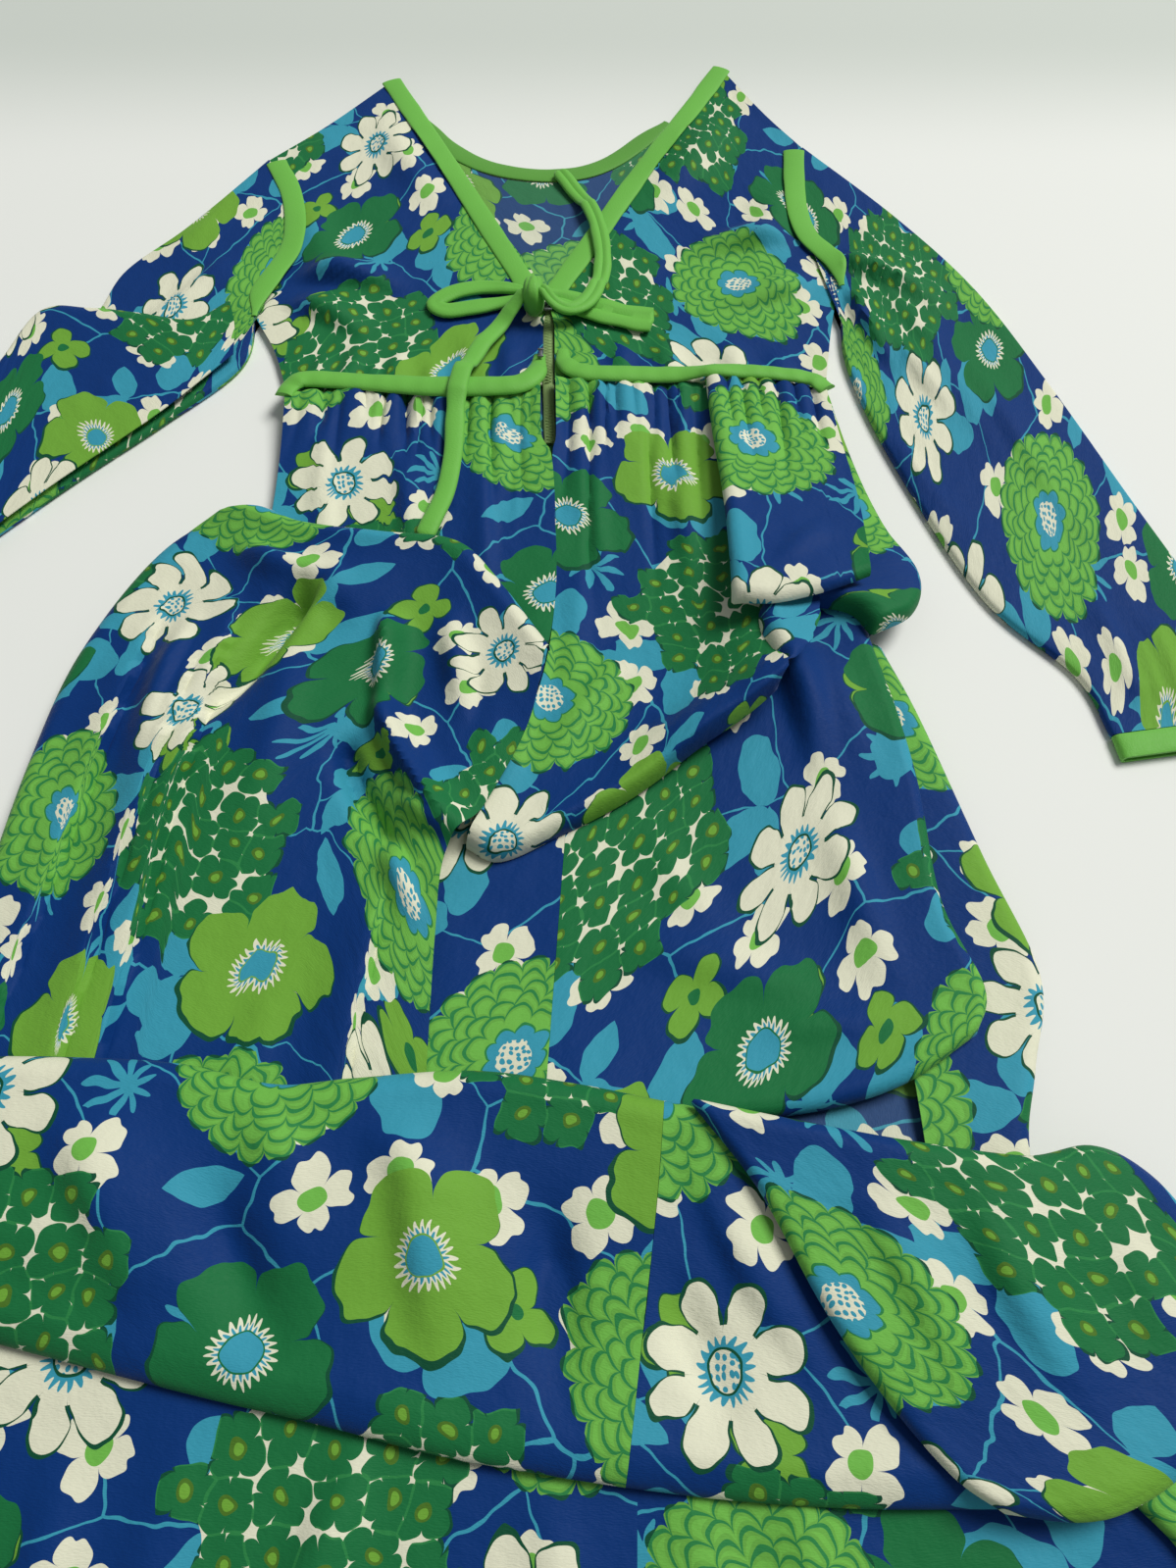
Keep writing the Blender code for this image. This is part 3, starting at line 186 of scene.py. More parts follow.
class DressStage(bpy.types.PropertyGroup):
    """Floor, light and camera."""

    floor: colour_property("Floor", "Pale surface under the dress", srgb(238, 241, 236))
    light: FloatProperty(
        name="Window light", description="Power of the large soft light", default=1240.0, unit="POWER"
    )
    sky: FloatProperty(name="Room light", description="Strength of the even light all round", default=0.22)
    lens: FloatProperty(name="Lens", description="Focal length on a 36 mm long side", default=26.0)


# A folded edge: how high the cloth stands there, how far in it reaches that height, and over
# what distance it sinks again.
Roll = namedtuple("Roll", "height reach sink")
FLAT = Roll(0.0, 0.0, 1.0)
ROLL_SHARES = (0.12, 0.42, 1.0)
FINE_ROLL_SHARES = (0.015, 0.06, 0.13, 0.23, 0.36, 0.52, 0.72, 1.0)

# A ridge in the cloth from start to finish: height (a crease if below 0), half width, lean to
# one side (-1 to 1), sideways bow at its middle, and the share of its length over which it rises.
BOTH_FADE, START_OPEN, GATHERED = 0.4, 0.001, 0.16
Fold = namedtuple("Fold", "x1 y1 x2 y2 height width lean bow rise", defaults=(0.0, 0, BOTH_FADE))


def fold_table(rise, *rows):
    """Folds that rise over the same share of their length, unless a row ends with its own share."""
    return tuple(Fold(*row) if len(row) == len(Fold._fields) else Fold(*row, rise=rise) for row in rows)


# Where the print lies on a panel: its shift in millimetres and its turn in degrees.
Lay = namedtuple("Lay", "x y turn")

# A panel between four edge curves, with its coarse cells, its folded edges (top, bottom, left and
# right), its folds, its print, and the width of its fine cells against their height.
Panel = namedtuple(
    "Panel",
    "name top bottom left right across down rolls folds print_lay fineness",
    defaults=((FLAT, FLAT, FLAT, FLAT), (), Lay(0, 0, 0), 1.0),
)
Sleeve = namedtuple("Sleeve", "name top bottom left right folds print_lay")

# How a strip is made: its puckers, how far it narrows at its start and end, how round it is across
# (1 is a parabola), and how far its base may sink into what lies beneath.
Make = namedtuple("Make", "pucker taper roundness sink", defaults=(0.0, (0.0, 0.0), 0.4, 0.6))
BACK_MAKE = Make(taper=(0.6, 0.6))
ARMHOLE_MAKE = Make(0.02, (0.0, 0.75), 0.5, 2.6)
BAND_MAKE_LEFT, BAND_MAKE_RIGHT = Make(0.06, (0.2, 0.5), 0.5, 3.0), Make(0.06, (0.5, 0.2), 0.5, 3.0)


def smooth_curve(points, count):
    """Points spaced evenly along a smooth curve through a short list of points."""
    given = np.array(points, float)
    if len(given) == 2:
        steps = np.linspace(0, 1, count)[:, None]
        return given[0] * (1 - steps) + given[1] * steps
    full = np.vstack([2 * given[0] - given[1], given, 2 * given[-1] - given[-2]])
    fine = []
    for k in range(1, len(full) - 2):
        p0, p1, p2, p3 = full[k - 1 : k + 3]
        t = np.linspace(0, 1, 24, endpoint=False)[:, None]
        bend = (2 * p0 - 5 * p1 + 4 * p2 - p3) * t**2 + (3 * p1 - p0 - 3 * p2 + p3) * t**3
        fine.append(0.5 * (2 * p1 + (p2 - p0) * t + bend))
    fine = np.vstack(fine + [given[-1:]])
    run = np.r_[0, np.cumsum(np.linalg.norm(np.diff(fine, axis=0), axis=1))]
    wanted = np.linspace(0, run[-1], count)
    return np.stack([np.interp(wanted, run, fine[:, a]) for a in range(given.shape[1])], axis=1)


def curve_length(points, count=33):
    """Length of the smooth curve through a short list of points."""
    return np.linalg.norm(np.diff(smooth_curve(points, count), axis=0), axis=1).sum()


def curve_at(points, shares):
    """Points of the smooth curve at the given shares of its length."""
    fine = smooth_curve(points, 481)
    places = np.linspace(0, 1, len(fine))
    return np.stack([np.interp(shares, places, fine[:, a]) for a in range(fine.shape[1])], axis=1)


def stations(cells, length, first, last, roll_shares=ROLL_SHARES):
    """Shares of a side, with extra ones close to a folded first or last edge."""
    inner = list(np.linspace(0, 1, cells + 1))
    for roll, at_start in ((first, True), (last, False)):
        for share in roll_shares if roll.height else ():
            place = min(share * roll.reach / length, ROLL_LIMIT)
            inner.append(place if at_start else 1 - place)
    inner = sorted(inner)
    spacing, hairline = STATION_SPACING / cells, STATION_HAIRLINE / cells
    kept = [0.0]
    for value in inner[1:-1]:
        near = value - kept[-1]
        in_roll = value * length < first.reach * 1.01 or (1 - value) * length < last.reach * 1.01
        if near > spacing or (in_roll and near > hairline):
            kept.append(value)
    if 1 - kept[-1] < hairline:
        kept.pop()
    return np.array(kept + [1.0])


def coons(piece, across, down):
    """A grid of points between a piece's four edge curves, rows from top to bottom."""
    upper, lower = curve_at(piece.top, across), curve_at(piece.bottom, across)
    west, east = curve_at(piece.left, down), curve_at(piece.right, down)
    s, t = across[None, :, None], down[:, None, None]
    ruled = (1 - t) * upper[None] + t * lower[None]
    other = (1 - s) * west[:, None] + s * east[:, None]
    corners = (1 - t) * ((1 - s) * upper[0] + s * upper[-1]) + t * ((1 - s) * lower[0] + s * lower[-1])
    return ruled + other - corners


def fold_place(xy, fold):
    """How far aside from a fold each point of a grid is, its share of the length, and the length."""
    start = np.array((fold.x1, fold.y1), float)
    along = np.array((fold.x2, fold.y2), float) - start
    length = np.linalg.norm(along)
    along /= length
    side = np.array((along[1], -along[0]))
    offset = xy - start
    t = np.clip(offset @ along / length, -0.4, 1.4)
    inside = np.clip(t, 0, 1)
    return offset @ side - fold.bow * 4 * inside * (1 - inside), t, length


def pleated(xy, folds):
    """How far the pleats, which are the folds with one steep side, shift the print across the cloth."""
    shift = np.zeros(xy.shape[:2])
    for fold in folds:
        if abs(fold.lean) >= STEEP:
            s, t, _ = fold_place(xy, fold)
            shift += TUCK * np.clip(0.5 - s / PLEAT_EDGE, 0, 1) * np.clip(t / PLEAT_START, 0, 1)
    return shift


def fold_heights(xy, folds):
    """The height that a table of folds adds at each point of a grid."""
    total = np.zeros(xy.shape[:2])
    for fold in folds:
        s, t, length = fold_place(xy, fold)
        beyond = np.maximum(np.maximum(-t, t - 1), 0) * length
        width = np.where(s < 0, fold.width * (1 - fold.lean), fold.width * (1 + fold.lean))
        rise = np.clip(t / fold.rise, 0, 1) if fold.rise > START_OPEN else 1.0
        fall = np.clip((1 - t) / FOLD_FADE_OUT, 0, 1)
        envelope = (3 * rise**2 - 2 * rise**3) * (3 * fall**2 - 2 * fall**3)
        total += fold.height * envelope * np.exp(-((s / width) ** 2) - (beyond / (2 * fold.width)) ** 2)
    return total


def edges_of(xy):
    """The top, bottom, left and right edge of a grid of points."""
    return xy[:1], xy[-1:], xy[:, :1], xy[:, -1:]


def roll_heights(xy, rolls):
    """Height of the folded edges: top, bottom, left and right."""
    rise, crest = np.ones(xy.shape[:2]), np.zeros(xy.shape[:2])
    for roll, edge in zip(rolls, edges_of(xy)):
        if not roll.height:
            continue
        far = np.linalg.norm(xy - edge, axis=2)
        inner = np.clip(far / roll.reach, 0, 1)
        rise *= np.sqrt(1 - (1 - inner) ** 2)
        crest = np.maximum(crest, roll.height * np.exp(-np.maximum(far - roll.reach, 0) / roll.sink))
    return rise * crest


def ripples(xy, wave, seed):
    """Smooth unevenness between about -1 and 1, with the given wave length."""
    lattice = np.random.default_rng(seed).uniform(-1, 1, (64, 64))
    place = xy / wave + 20.0
    cell = np.floor(place).astype(int)
    part = place - cell
    part = part * part * (3 - 2 * part)
    column, row = cell[..., 0] % 63, cell[..., 1] % 63
    u, v = part[..., 0], part[..., 1]
    low = lattice[column, row] * (1 - u) + lattice[column + 1, row] * u
    high = lattice[column, row + 1] * (1 - u) + lattice[column + 1, row + 1] * u
    return low * (1 - v) + high * v


class Pile:
    """The height of what lies on the surface so far, on a square raster."""

    def __init__(self):
        size = [int((h - l) / RASTER_CELL) + 1 for l, h in zip(RASTER_LOW, RASTER_HIGH)]
        self.height = np.zeros(size)

    def cells(self, points):
        """The raster's column and row of each point."""
        column = ((points[..., 0] - RASTER_LOW[0]) / RASTER_CELL + 0.5).astype(int)
        row = ((points[..., 1] - RASTER_LOW[1]) / RASTER_CELL + 0.5).astype(int)
        return column, row

    def cover(self, points):
        """Add a grid of points, with others between them so that no cell is missed."""
        for _ in range(4):
            middles = (points[1:] + points[:-1]) / 2
            points = np.insert(points, range(1, len(points)), middles, axis=0).transpose(1, 0, 2)
        np.maximum.at(self.height, self.cells(points), points[..., 2])

    def highest_near(self, xy, reach):
        """The greatest height within reach of each point."""
        column, row = self.cells(xy)
        cells = np.ceil(reach / RASTER_CELL).astype(int) + 1
        found = np.zeros(xy.shape[:2])
        for place in np.ndindex(found.shape):
            c, r, n = column[place], row[place], cells[place]
            found[place] = self.height[max(c - n, 0) : c + n + 1, max(r - n, 0) : r + n + 1].max()
        return found

    def top_near(self, place, reach):
        """The greatest height within reach of one place."""
        return self.highest_near(np.array([[place]], float), np.array([[reach]]))[0, 0]

    def just_under(self, xy):
        """The height at each point and the cells that touch it."""
        column, row = self.cells(xy)
        found = np.zeros(xy.shape[:2])
        for dc in (-1, 0, 1):
            for dr in (-1, 0, 1):
                found = np.maximum(found, self.height[column + dc, row + dr])
        return found


def longest_edges(xy):
    """For each grid point, a little more than the longest edge that meets it."""
    reach = np.zeros(xy.shape[:2])
    for axis in (0, 1):
        length = np.linalg.norm(np.diff(xy, axis=axis), axis=2)
        for side in ((1, 0), (0, 1)):
            reach = np.maximum(reach, np.pad(length, (side, (0, 0)) if axis == 0 else ((0, 0), side)))
    return reach * LOOK_AROUND


def relaxed(height, least, steps):
    """Height smoothed while it stays above the least height."""
    for _ in range(steps):
        padded = np.pad(height, 1, mode="edge")
        mean = (padded[2:, 1:-1] + padded[:-2, 1:-1] + padded[1:-1, 2:] + padded[1:-1, :-2]) / 4
        height = np.maximum(least, mean)
    return height


def resample(values, across, down, fine_across, fine_down):
    """A coarse grid of values read at finer stations."""
    rows = np.stack([np.interp(fine_across, across, row) for row in values])
    return np.stack([np.interp(fine_down, down, column) for column in rows.T], axis=1)


def draped(panel, pile, cell, ripple):
    """The fine grid of a panel as it lies on the pile: its points with their height."""
    wide, tall = curve_length(panel.top), curve_length(panel.left)
    top, bottom, left, right = panel.rolls
    across, down = stations(panel.across, wide, left, right), stations(panel.down, tall, top, bottom)
    coarse = coons(panel, across, down)
    least = pile.highest_near(coarse, np.minimum(longest_edges(coarse), DRAPE_REACH)) + GAP
    base = relaxed(least, least, DRAPE_STEPS)
    fine_across = stations(max(2, round(wide / cell / panel.fineness)), wide, left, right, FINE_ROLL_SHARES)
    fine_down = stations(max(2, round(tall / cell)), tall, top, bottom, FINE_ROLL_SHARES)
    xy = coons(panel, fine_across, fine_down)
    floor = pile.just_under(xy) + GAP
    height = resample(base, across, down, fine_across, fine_down)
    height = relaxed(height - max((height - floor).min(), 0), floor, SETTLE_STEPS)
    seed = sum(map(ord, panel.name))
    uneven = ripple * (ripples(xy, LONG_RIPPLE, seed) + SHORT_SHARE * ripples(xy, SHORT_RIPPLE, seed + 1))
    from_edge = np.min([np.linalg.norm(xy - edge, axis=2) for edge in edges_of(xy)], axis=0)
    folded = fold_heights(xy, panel.folds) * FOLD_STRENGTH
    height += roll_heights(xy, panel.rolls) + folded
    height += np.maximum(uneven, -ripple) * np.minimum(from_edge / EVEN_EDGE, 1)
    return np.dstack([xy, np.maximum(height, floor)])


def grid_normals(points):
    """Unit normals of a grid of points, turned upwards."""
    normal = np.cross(np.gradient(points, axis=0), np.gradient(points, axis=1))
    normal *= np.where(normal[..., 2:] < 0, -1, 1)
    return normal / np.maximum(np.linalg.norm(normal, axis=2, keepdims=True), 1e-9)


def cloth_lengths(points):
    """Each grid point's place in the flat cloth: lengths along its row and its column."""
    rows = np.linalg.norm(np.diff(points, axis=1), axis=2)
    u = np.pad(np.cumsum(rows, axis=1), ((0, 0), (1, 0)))
    u -= u[:, u.shape[1] // 2][:, None]
    columns = np.linalg.norm(np.diff(points, axis=0), axis=2)
    v = -np.pad(np.cumsum(columns, axis=0), ((1, 0), (0, 0)))
    return np.dstack([u, v])


def print_places(points, lay, folds=()):
    """The print's coordinates on a panel, in metres."""
    flat = cloth_lengths(points)
    flat[..., 0] += pleated(points[..., :2], folds)
    turn = math.radians(lay.turn)
    u = flat[..., 0] * math.cos(turn) - flat[..., 1] * math.sin(turn) + lay.x
    v = flat[..., 0] * math.sin(turn) + flat[..., 1] * math.cos(turn) + lay.y
    return np.dstack([u, v]) * MM


def shaped_grid(points):
    """A bmesh of a grid of points, each with its station number, row by row."""
    rows, columns = points.shape[:2]
    maker = bmesh.new()
    bmesh.ops.create_grid(maker, x_segments=columns - 1, y_segments=rows - 1, size=1)
    number = maker.verts.layers.int.new("station")
    flat = points.reshape(-1, 3)
    for vert in maker.verts:
        column = round((vert.co.x + 1) / 2 * (columns - 1))
        row = round((1 - vert.co.y) / 2 * (rows - 1))
        vert[number] = row * columns + column
        vert.co = flat[vert[number]]
    return maker


def write_places(maker, places):
    """Give each point its place in the print, by its station number."""
    number = maker.verts.layers.int["station"]
    layer = maker.loops.layers.uv.new("Print")
    flat = places.reshape(-1, 2)
    for face in maker.faces:
        for loop in face.loops:
            loop[layer].uv = flat[loop.vert[number]]


def finish_piece(name, maker, paint, solid=None):
    """Turn a bmesh in millimetres into a named piece in metres that rides on the part.

    It takes the place of its solid, where it has one.
    """
    bmesh.ops.recalc_face_normals(maker, faces=maker.faces)
    if maker.calc_volume(signed=True) < 0:
        bmesh.ops.reverse_faces(maker, faces=maker.faces)
    bmesh.ops.scale(maker, vec=(MM, MM, MM), verts=maker.verts)
    if name in bpy.data.objects:
        raise RuntimeError(f"a piece named {name} is there already")
    mesh = bpy.data.meshes.new(name)
    maker.to_mesh(mesh)
    maker.free()
    mesh.shade_smooth()
    mesh.set_sharp_from_angle(angle=SHARP_ANGLE)
    mesh.materials.append(material(paint))
    piece = bpy.data.objects.new(name, mesh)
    bpy.context.scene.collection.objects.link(piece)
    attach(piece, "root")
    if solid:
        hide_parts(solid)
    return piece


def closed_sheet(solid, under, upper, paint, places):
    """A closed thin body between two grids of points, joined round their edges."""
    maker = shaped_grid(under)
    number = maker.verts.layers.int["station"]
    raised = bmesh.ops.extrude_face_region(maker, geom=maker.faces[:])["geom"]
    flat = upper.reshape(-1, 3)
    for vert in (item for item in raised if isinstance(item, bmesh.types.BMVert)):
        vert.co = flat[vert[number]]
    write_places(maker, places)
    return finish_piece(solid + "_cloth", maker, paint, solid)


def declare_sheet(piece, points):
    """Work out the flat cut of a piece of cloth, measured along its rows and columns, and its area; nothing
    keeps them.
    """
    lengths = cloth_lengths(points) * MM
    width = (lengths[:, -1, 0] - lengths[:, 0, 0]).max()
    length = -lengths[-1, :, 1].min()
    both_sides = sum(face.area for face in piece.data.polygons)
    area = max(min(both_sides / 2, width * length), LEAST_CUT * width * length)


PILE = Pile()


def join_seams(grids):
    """Raise draped grids that meet edge to edge, from left to right, to one height along each seam."""
    for west, east in zip(grids, grids[1:]):
        edges = (west[:, -1].copy(), east[:, 0].copy())
        for grid, edge, other in ((west, *edges), (east, *reversed(edges))):
            rise = np.maximum(np.interp(-edge[:, 1], -other[:, 1], other[:, 2]) - edge[:, 2], 0)
            far = np.linalg.norm(grid[..., :2] - edge[:, None, :2], axis=2)
            grid[..., 2] += rise[:, None] * np.exp(-((far / SEAM_REACH) ** 2))


def lay_panels(panels, paint="floral_outside"):
    """Lay panels that meet edge to edge, so that none lies on another, in place of their solids."""
    cloth = bpy.context.scene.dress_cloth
    grids = [draped(panel, PILE, cloth.cell, cloth.ripple) for panel in panels]
    join_seams(grids)
    for panel, under in zip(panels, grids):
        normals = grid_normals(under)
        upper = under + normals * WALL
        places = print_places(upper, panel.print_lay, panel.folds)
        lower = upper - normals * cloth.thickness
        piece = closed_sheet(panel.name, lower, upper, paint, places)
        declare_sheet(piece, upper)
        PILE.cover(upper)


def sides_of(line):
    """Unit vectors to the left of a line, seen from above."""
    way = np.gradient(line, axis=0)
    way /= np.linalg.norm(way, axis=1, keepdims=True)
    return np.stack([-way[:, 1], way[:, 0]], axis=1)


def strip_grid(path, width, cells, shares):
    """A strip of even width along a path, seen from above."""
    line = smooth_curve(path, cells + 1)
    return line[:, None] + sides_of(line)[:, None] * ((0.5 - shares) * width)[None, :, None]


def lay_strip(solid, path, width, crown, paint, seed, make=Make(), covers=True):
    """A binding or band: flat beneath, crowned across, and a little uneven along its length."""
    length = curve_length(path)
    cells = max(8, round(length / STRIP_CELL))
    shares = (1 - np.cos(np.linspace(0, math.pi, STRIP_POINTS))) / 2
    along = np.linspace(0, 1, cells + 1)
    uneven = np.random.default_rng(seed).normal(0, 1, cells + 1)
    window = np.hanning(UNEVEN_POINTS)
    uneven = np.convolve(np.pad(uneven, UNEVEN_POINTS // 2, mode="edge"), window / window.sum(), mode="valid")
    near_start, near_end = (np.exp(-((far * length / END_REACH) ** 2)) for far in (along, 1 - along))
    narrow = 1 - make.taper[0] * near_start - make.taper[1] * near_end
    pucker = make.pucker * (1 + END_PUCKER * (near_start + near_end))
    xy = strip_grid(path, width, cells, shares)
    middle = xy.mean(axis=1, keepdims=True)
    xy = middle + (xy - middle) * (narrow * (1 + UNEVEN_WIDTH * uneven))[:, None, None]
    least = PILE.highest_near(xy, np.full(xy.shape[:2], STRIP_LOOK))
    base = relaxed(least, least - make.sink, STRIP_STEPS) + GAP
    arch = np.maximum(1 - (2 * shares - 1) ** 2, 0) ** make.roundness
    wave = 1 + pucker * uneven + pucker * STITCH_SHARE * np.sin(along * length / STITCH_WAVE)
    high = crown * arch[None, :] * (narrow * wave)[:, None]
    wall = bpy.context.scene.dress_cloth.thickness * (EDGE_WALL + (1 - EDGE_WALL) * arch)
    under, upper = np.dstack([xy, base]), np.dstack([xy, base + wall + high])
    if covers:
        PILE.cover(upper)
    places = np.dstack(np.broadcast_arrays((shares * width)[None], (along * length)[:, None]))
    return closed_sheet(solid, under, upper, paint, places * MM)


def tube_skin(xy, height, inset, raised):
    """The outline grid of a flattened tube, out of the surface all round."""
    width = np.linalg.norm(xy[:, :1] - xy[:, -1:], axis=2)
    middle = (xy[:, :1] + xy[:, -1:]) / 2
    radius = height / 2 - inset
    half = width[:, :, None] / 2
    points = middle + (xy - middle) * (half - inset) / half
    from_edge = np.minimum(
        np.linalg.norm(points - points[:, :1], axis=2), np.linalg.norm(points - points[:, -1:], axis=2)
    )
    sunk = radius * (1 - np.sqrt(1 - (1 - np.clip(from_edge / radius, 0, 1)) ** 2))
    lift = raised * np.clip(from_edge / FOLD_START, 0, 1)
    over = np.dstack([points, height - inset - sunk + lift])
    below = np.dstack([points, inset + sunk])
    return np.concatenate([over, below[:, -2:0:-1]], axis=1)


def lay_tube(solid, xy, height, wall, raised, paint, print_lay=Lay(0, 0, 0)):
    """A flattened tube of cloth: the grid's columns run across it, and its two ends are open."""
    outer, inner = tube_skin(xy, height, 0.0, raised), tube_skin(xy, height, wall, raised)
    rings = np.concatenate([outer, inner[::-1], outer[:1]])
    closed = np.concatenate([outer, outer[:, :1]], axis=1)
    places = print_places(closed, print_lay)
    maker = shaped_grid(np.concatenate([rings, rings[:, :1]], axis=1))
    write_places(maker, np.concatenate([places, places[::-1], places[:1]]))
    bmesh.ops.remove_doubles(maker, verts=maker.verts, dist=0.001)
    PILE.cover(outer[:, : xy.shape[1]])
    declare_sheet(finish_piece(solid + "_cloth", maker, paint, solid), closed)


def across_tube(cells, width):
    """Shares across a flattened tube, closer together at its two round edges."""
    edge = TUBE_HEIGHT / 2 / width
    rounding = [0.0, 0.07 * edge, 0.25 * edge, 0.55 * edge]
    inner = np.linspace(edge, 1 - edge, cells + 1)
    return np.array([*rounding, *inner, *(1 - share for share in reversed(rounding))])


# Outlines of the bodice, shared by the pieces that meet there.
NECK_TIP_LEFT, NECK_TIP_RIGHT = (-141, 375), (144, 397)
SHOULDER_LEFT, SHOULDER_RIGHT = (-237, 264), (208, 281)
UNDERARM_LEFT, UNDERARM_RIGHT = (-223, 80), (221, 120)
ARMHOLE_LEFT = (SHOULDER_LEFT, (-214, 226), (-203, 180), (-202, 150), (-212, 122), (-221, 100), UNDERARM_LEFT)
ARMHOLE_RIGHT = (SHOULDER_RIGHT, (200, 240), (196, 195), (200, 160), (214, 140), UNDERARM_RIGHT)
WAIST_LEFT, WAIST_RIGHT = (-187, -8), (199, -6)
NECK_V = (-8, 112)
BACK_NECK = (
    (-135, 358), (-122, 327), (-96, 286), (-56, 250), (0, 239), (48, 255), (100, 313), (126, 355), (138, 380),
)
SIDE_SEAM_LEFT = ((-203, 40), WAIST_LEFT)
SIDE_SEAM_RIGHT = ((209, 55), WAIST_RIGHT)


def apart(points, dx, dy=0.0):
    """The same line moved aside, which keeps the gap at a seam."""
    return tuple((x + dx, y + dy) for x, y in points)


BODICE_BACK = Panel(
    "bodice_back",
    top=(SHOULDER_LEFT, (-192, 312), *BACK_NECK, (178, 330), SHOULDER_RIGHT),
    bottom=(WAIST_LEFT, (-90, -4), (0, 10), (100, -1), WAIST_RIGHT),
    left=(SHOULDER_LEFT, *apart((*ARMHOLE_LEFT[1:], SIDE_SEAM_LEFT[0]), BACK_INSET), WAIST_LEFT),
    right=(SHOULDER_RIGHT, *apart((*ARMHOLE_RIGHT[1:], SIDE_SEAM_RIGHT[0]), -BACK_INSET), WAIST_RIGHT),
    across=14,
    down=9,
    print_lay=Lay(120, 260, 176),
)

# Drags in the bodice: from the bust to the waist seam, from the armholes, and along the neck.
BODICE_LEFT_FOLDS = (
    *fold_table(
        START_OPEN,
        (-172, 2, -164, 44, 3.4, 6, 0, 2), (-150, 2, -138, 60, 4.4, 8, 0, 3), (-130, 0, -124, 36, 3.1, 5),
        (-112, 0, -106, 48, 4.1, 7, 0.2, -3), (-88, -1, -86, 34, 3.1, 5, 0, 2),
        (-66, -2, -60, 70, 4.4, 8, 0, 4), (-48, 0, -46, 36, 2.7, 5), (-30, 4, -28, 60, 3.7, 7),
    ),
    *fold_table(
        BOTH_FADE,
        (-204, 120, -100, 104, 12, 12, -0.5, -6), (-208, 92, -126, 44, 9.8, 12, -0.5, -8),
        (-150, 330, -70, 180, 5.8, 15, 0, 8), (-196, 230, -150, 90, 4.7, 15, 0, 10),
    ),
)
BODICE_RIGHT_FOLDS = (
    *fold_table(
        START_OPEN,
        (26, 8, 27, 40, 3.1, 6), (50, 6, 52, 58, 4.1, 7, 0, 3), (70, 4, 70, 34, 3.1, 5),
        (92, 2, 86, 64, 4.8, 8, 0.1, -3), (114, 1, 110, 36, 3.1, 5), (136, 0, 128, 60, 4.4, 8, 0, 4),
        (154, -2, 150, 34, 2.7, 5), (172, -4, 166, 48, 3.7, 7),
    ),
    *fold_table(
        BOTH_FADE,
        (195, 165, 100, 140, 11.1, 11, 0.4, 6), (206, 124, 120, 84, 9, 11, 0.4, -6),
        (150, 340, 60, 190, 5.8, 15, 0, -8), (180, 240, 150, 120, 4.7, 15, 0, -8),
    ),
)

BODICE_FRONT_LEFT = Panel(
    "bodice_front_left",
    top=(SHOULDER_LEFT, (-192, 312), NECK_TIP_LEFT),
    bottom=(WAIST_LEFT, (-120, -2), (-60, -2), (-5, 6)),
    left=(*ARMHOLE_LEFT, *SIDE_SEAM_LEFT),
    right=(NECK_TIP_LEFT, (-100, 292), (-56, 205), NECK_V, (-5, 60), (-5, 6)),
    across=10,
    down=14,
    folds=BODICE_LEFT_FOLDS,
    print_lay=Lay(300, 150, 0),
)

BODICE_FRONT_RIGHT = Panel(
    "bodice_front_right",
    top=(NECK_TIP_RIGHT, (178, 330), SHOULDER_RIGHT),
    bottom=((4.5, 8), (60, 4), (120, 2), WAIST_RIGHT),
    left=(NECK_TIP_RIGHT, (92, 300), (44, 208), (2, 112), (3.5, 60), (4.5, 8)),
    right=(*ARMHOLE_RIGHT, *SIDE_SEAM_RIGHT),
    across=10,
    down=14,
    folds=BODICE_RIGHT_FOLDS,
    print_lay=Lay(60, 330, 0),
)

SLEEVE_LEFT = Sleeve(
    "sleeve_left",
    top=apart(reversed(ARMHOLE_LEFT), -ARMHOLE_GAP),
    bottom=((-544, -372), (-598, -300)),
    left=(UNDERARM_LEFT, (-226, 26), (-274, -31), (-335, -95), (-430, -205), (-500, -300), (-544, -372)),
    right=(
        SHOULDER_LEFT, (-290, 180), (-330, 128), (-349, 68), (-410, -10), (-500, -130), (-570, -240),
        (-598, -300),
    ),
    folds=(
        *fold_table(
            BOTH_FADE,
            (-236, 110, -420, -150, 4.4, 11, -0.5, 12), (-240, 160, -350, 20, 4.6, 10, -0.5, -8),
            (-226, 60, -300, 20, 2, 9, 0, 6), (-232, 90, -268, 150, 1.8, 9),
            (-270, 220, -300, 110, 1.6, 10, 0, -6), (-400, -80, -540, -300, 2.2, 12, 0, 6),
            (-440, -90, -560, -270, 1.6, 10, 0, -6),
        ),
        *fold_table(
            START_OPEN,
            (-566, -352, -530, -290, 2.6, 6), (-584, -330, -548, -270, 2.6, 6, 0, 2),
        ),
    ),
    print_lay=Lay(210, 90, -28),
)

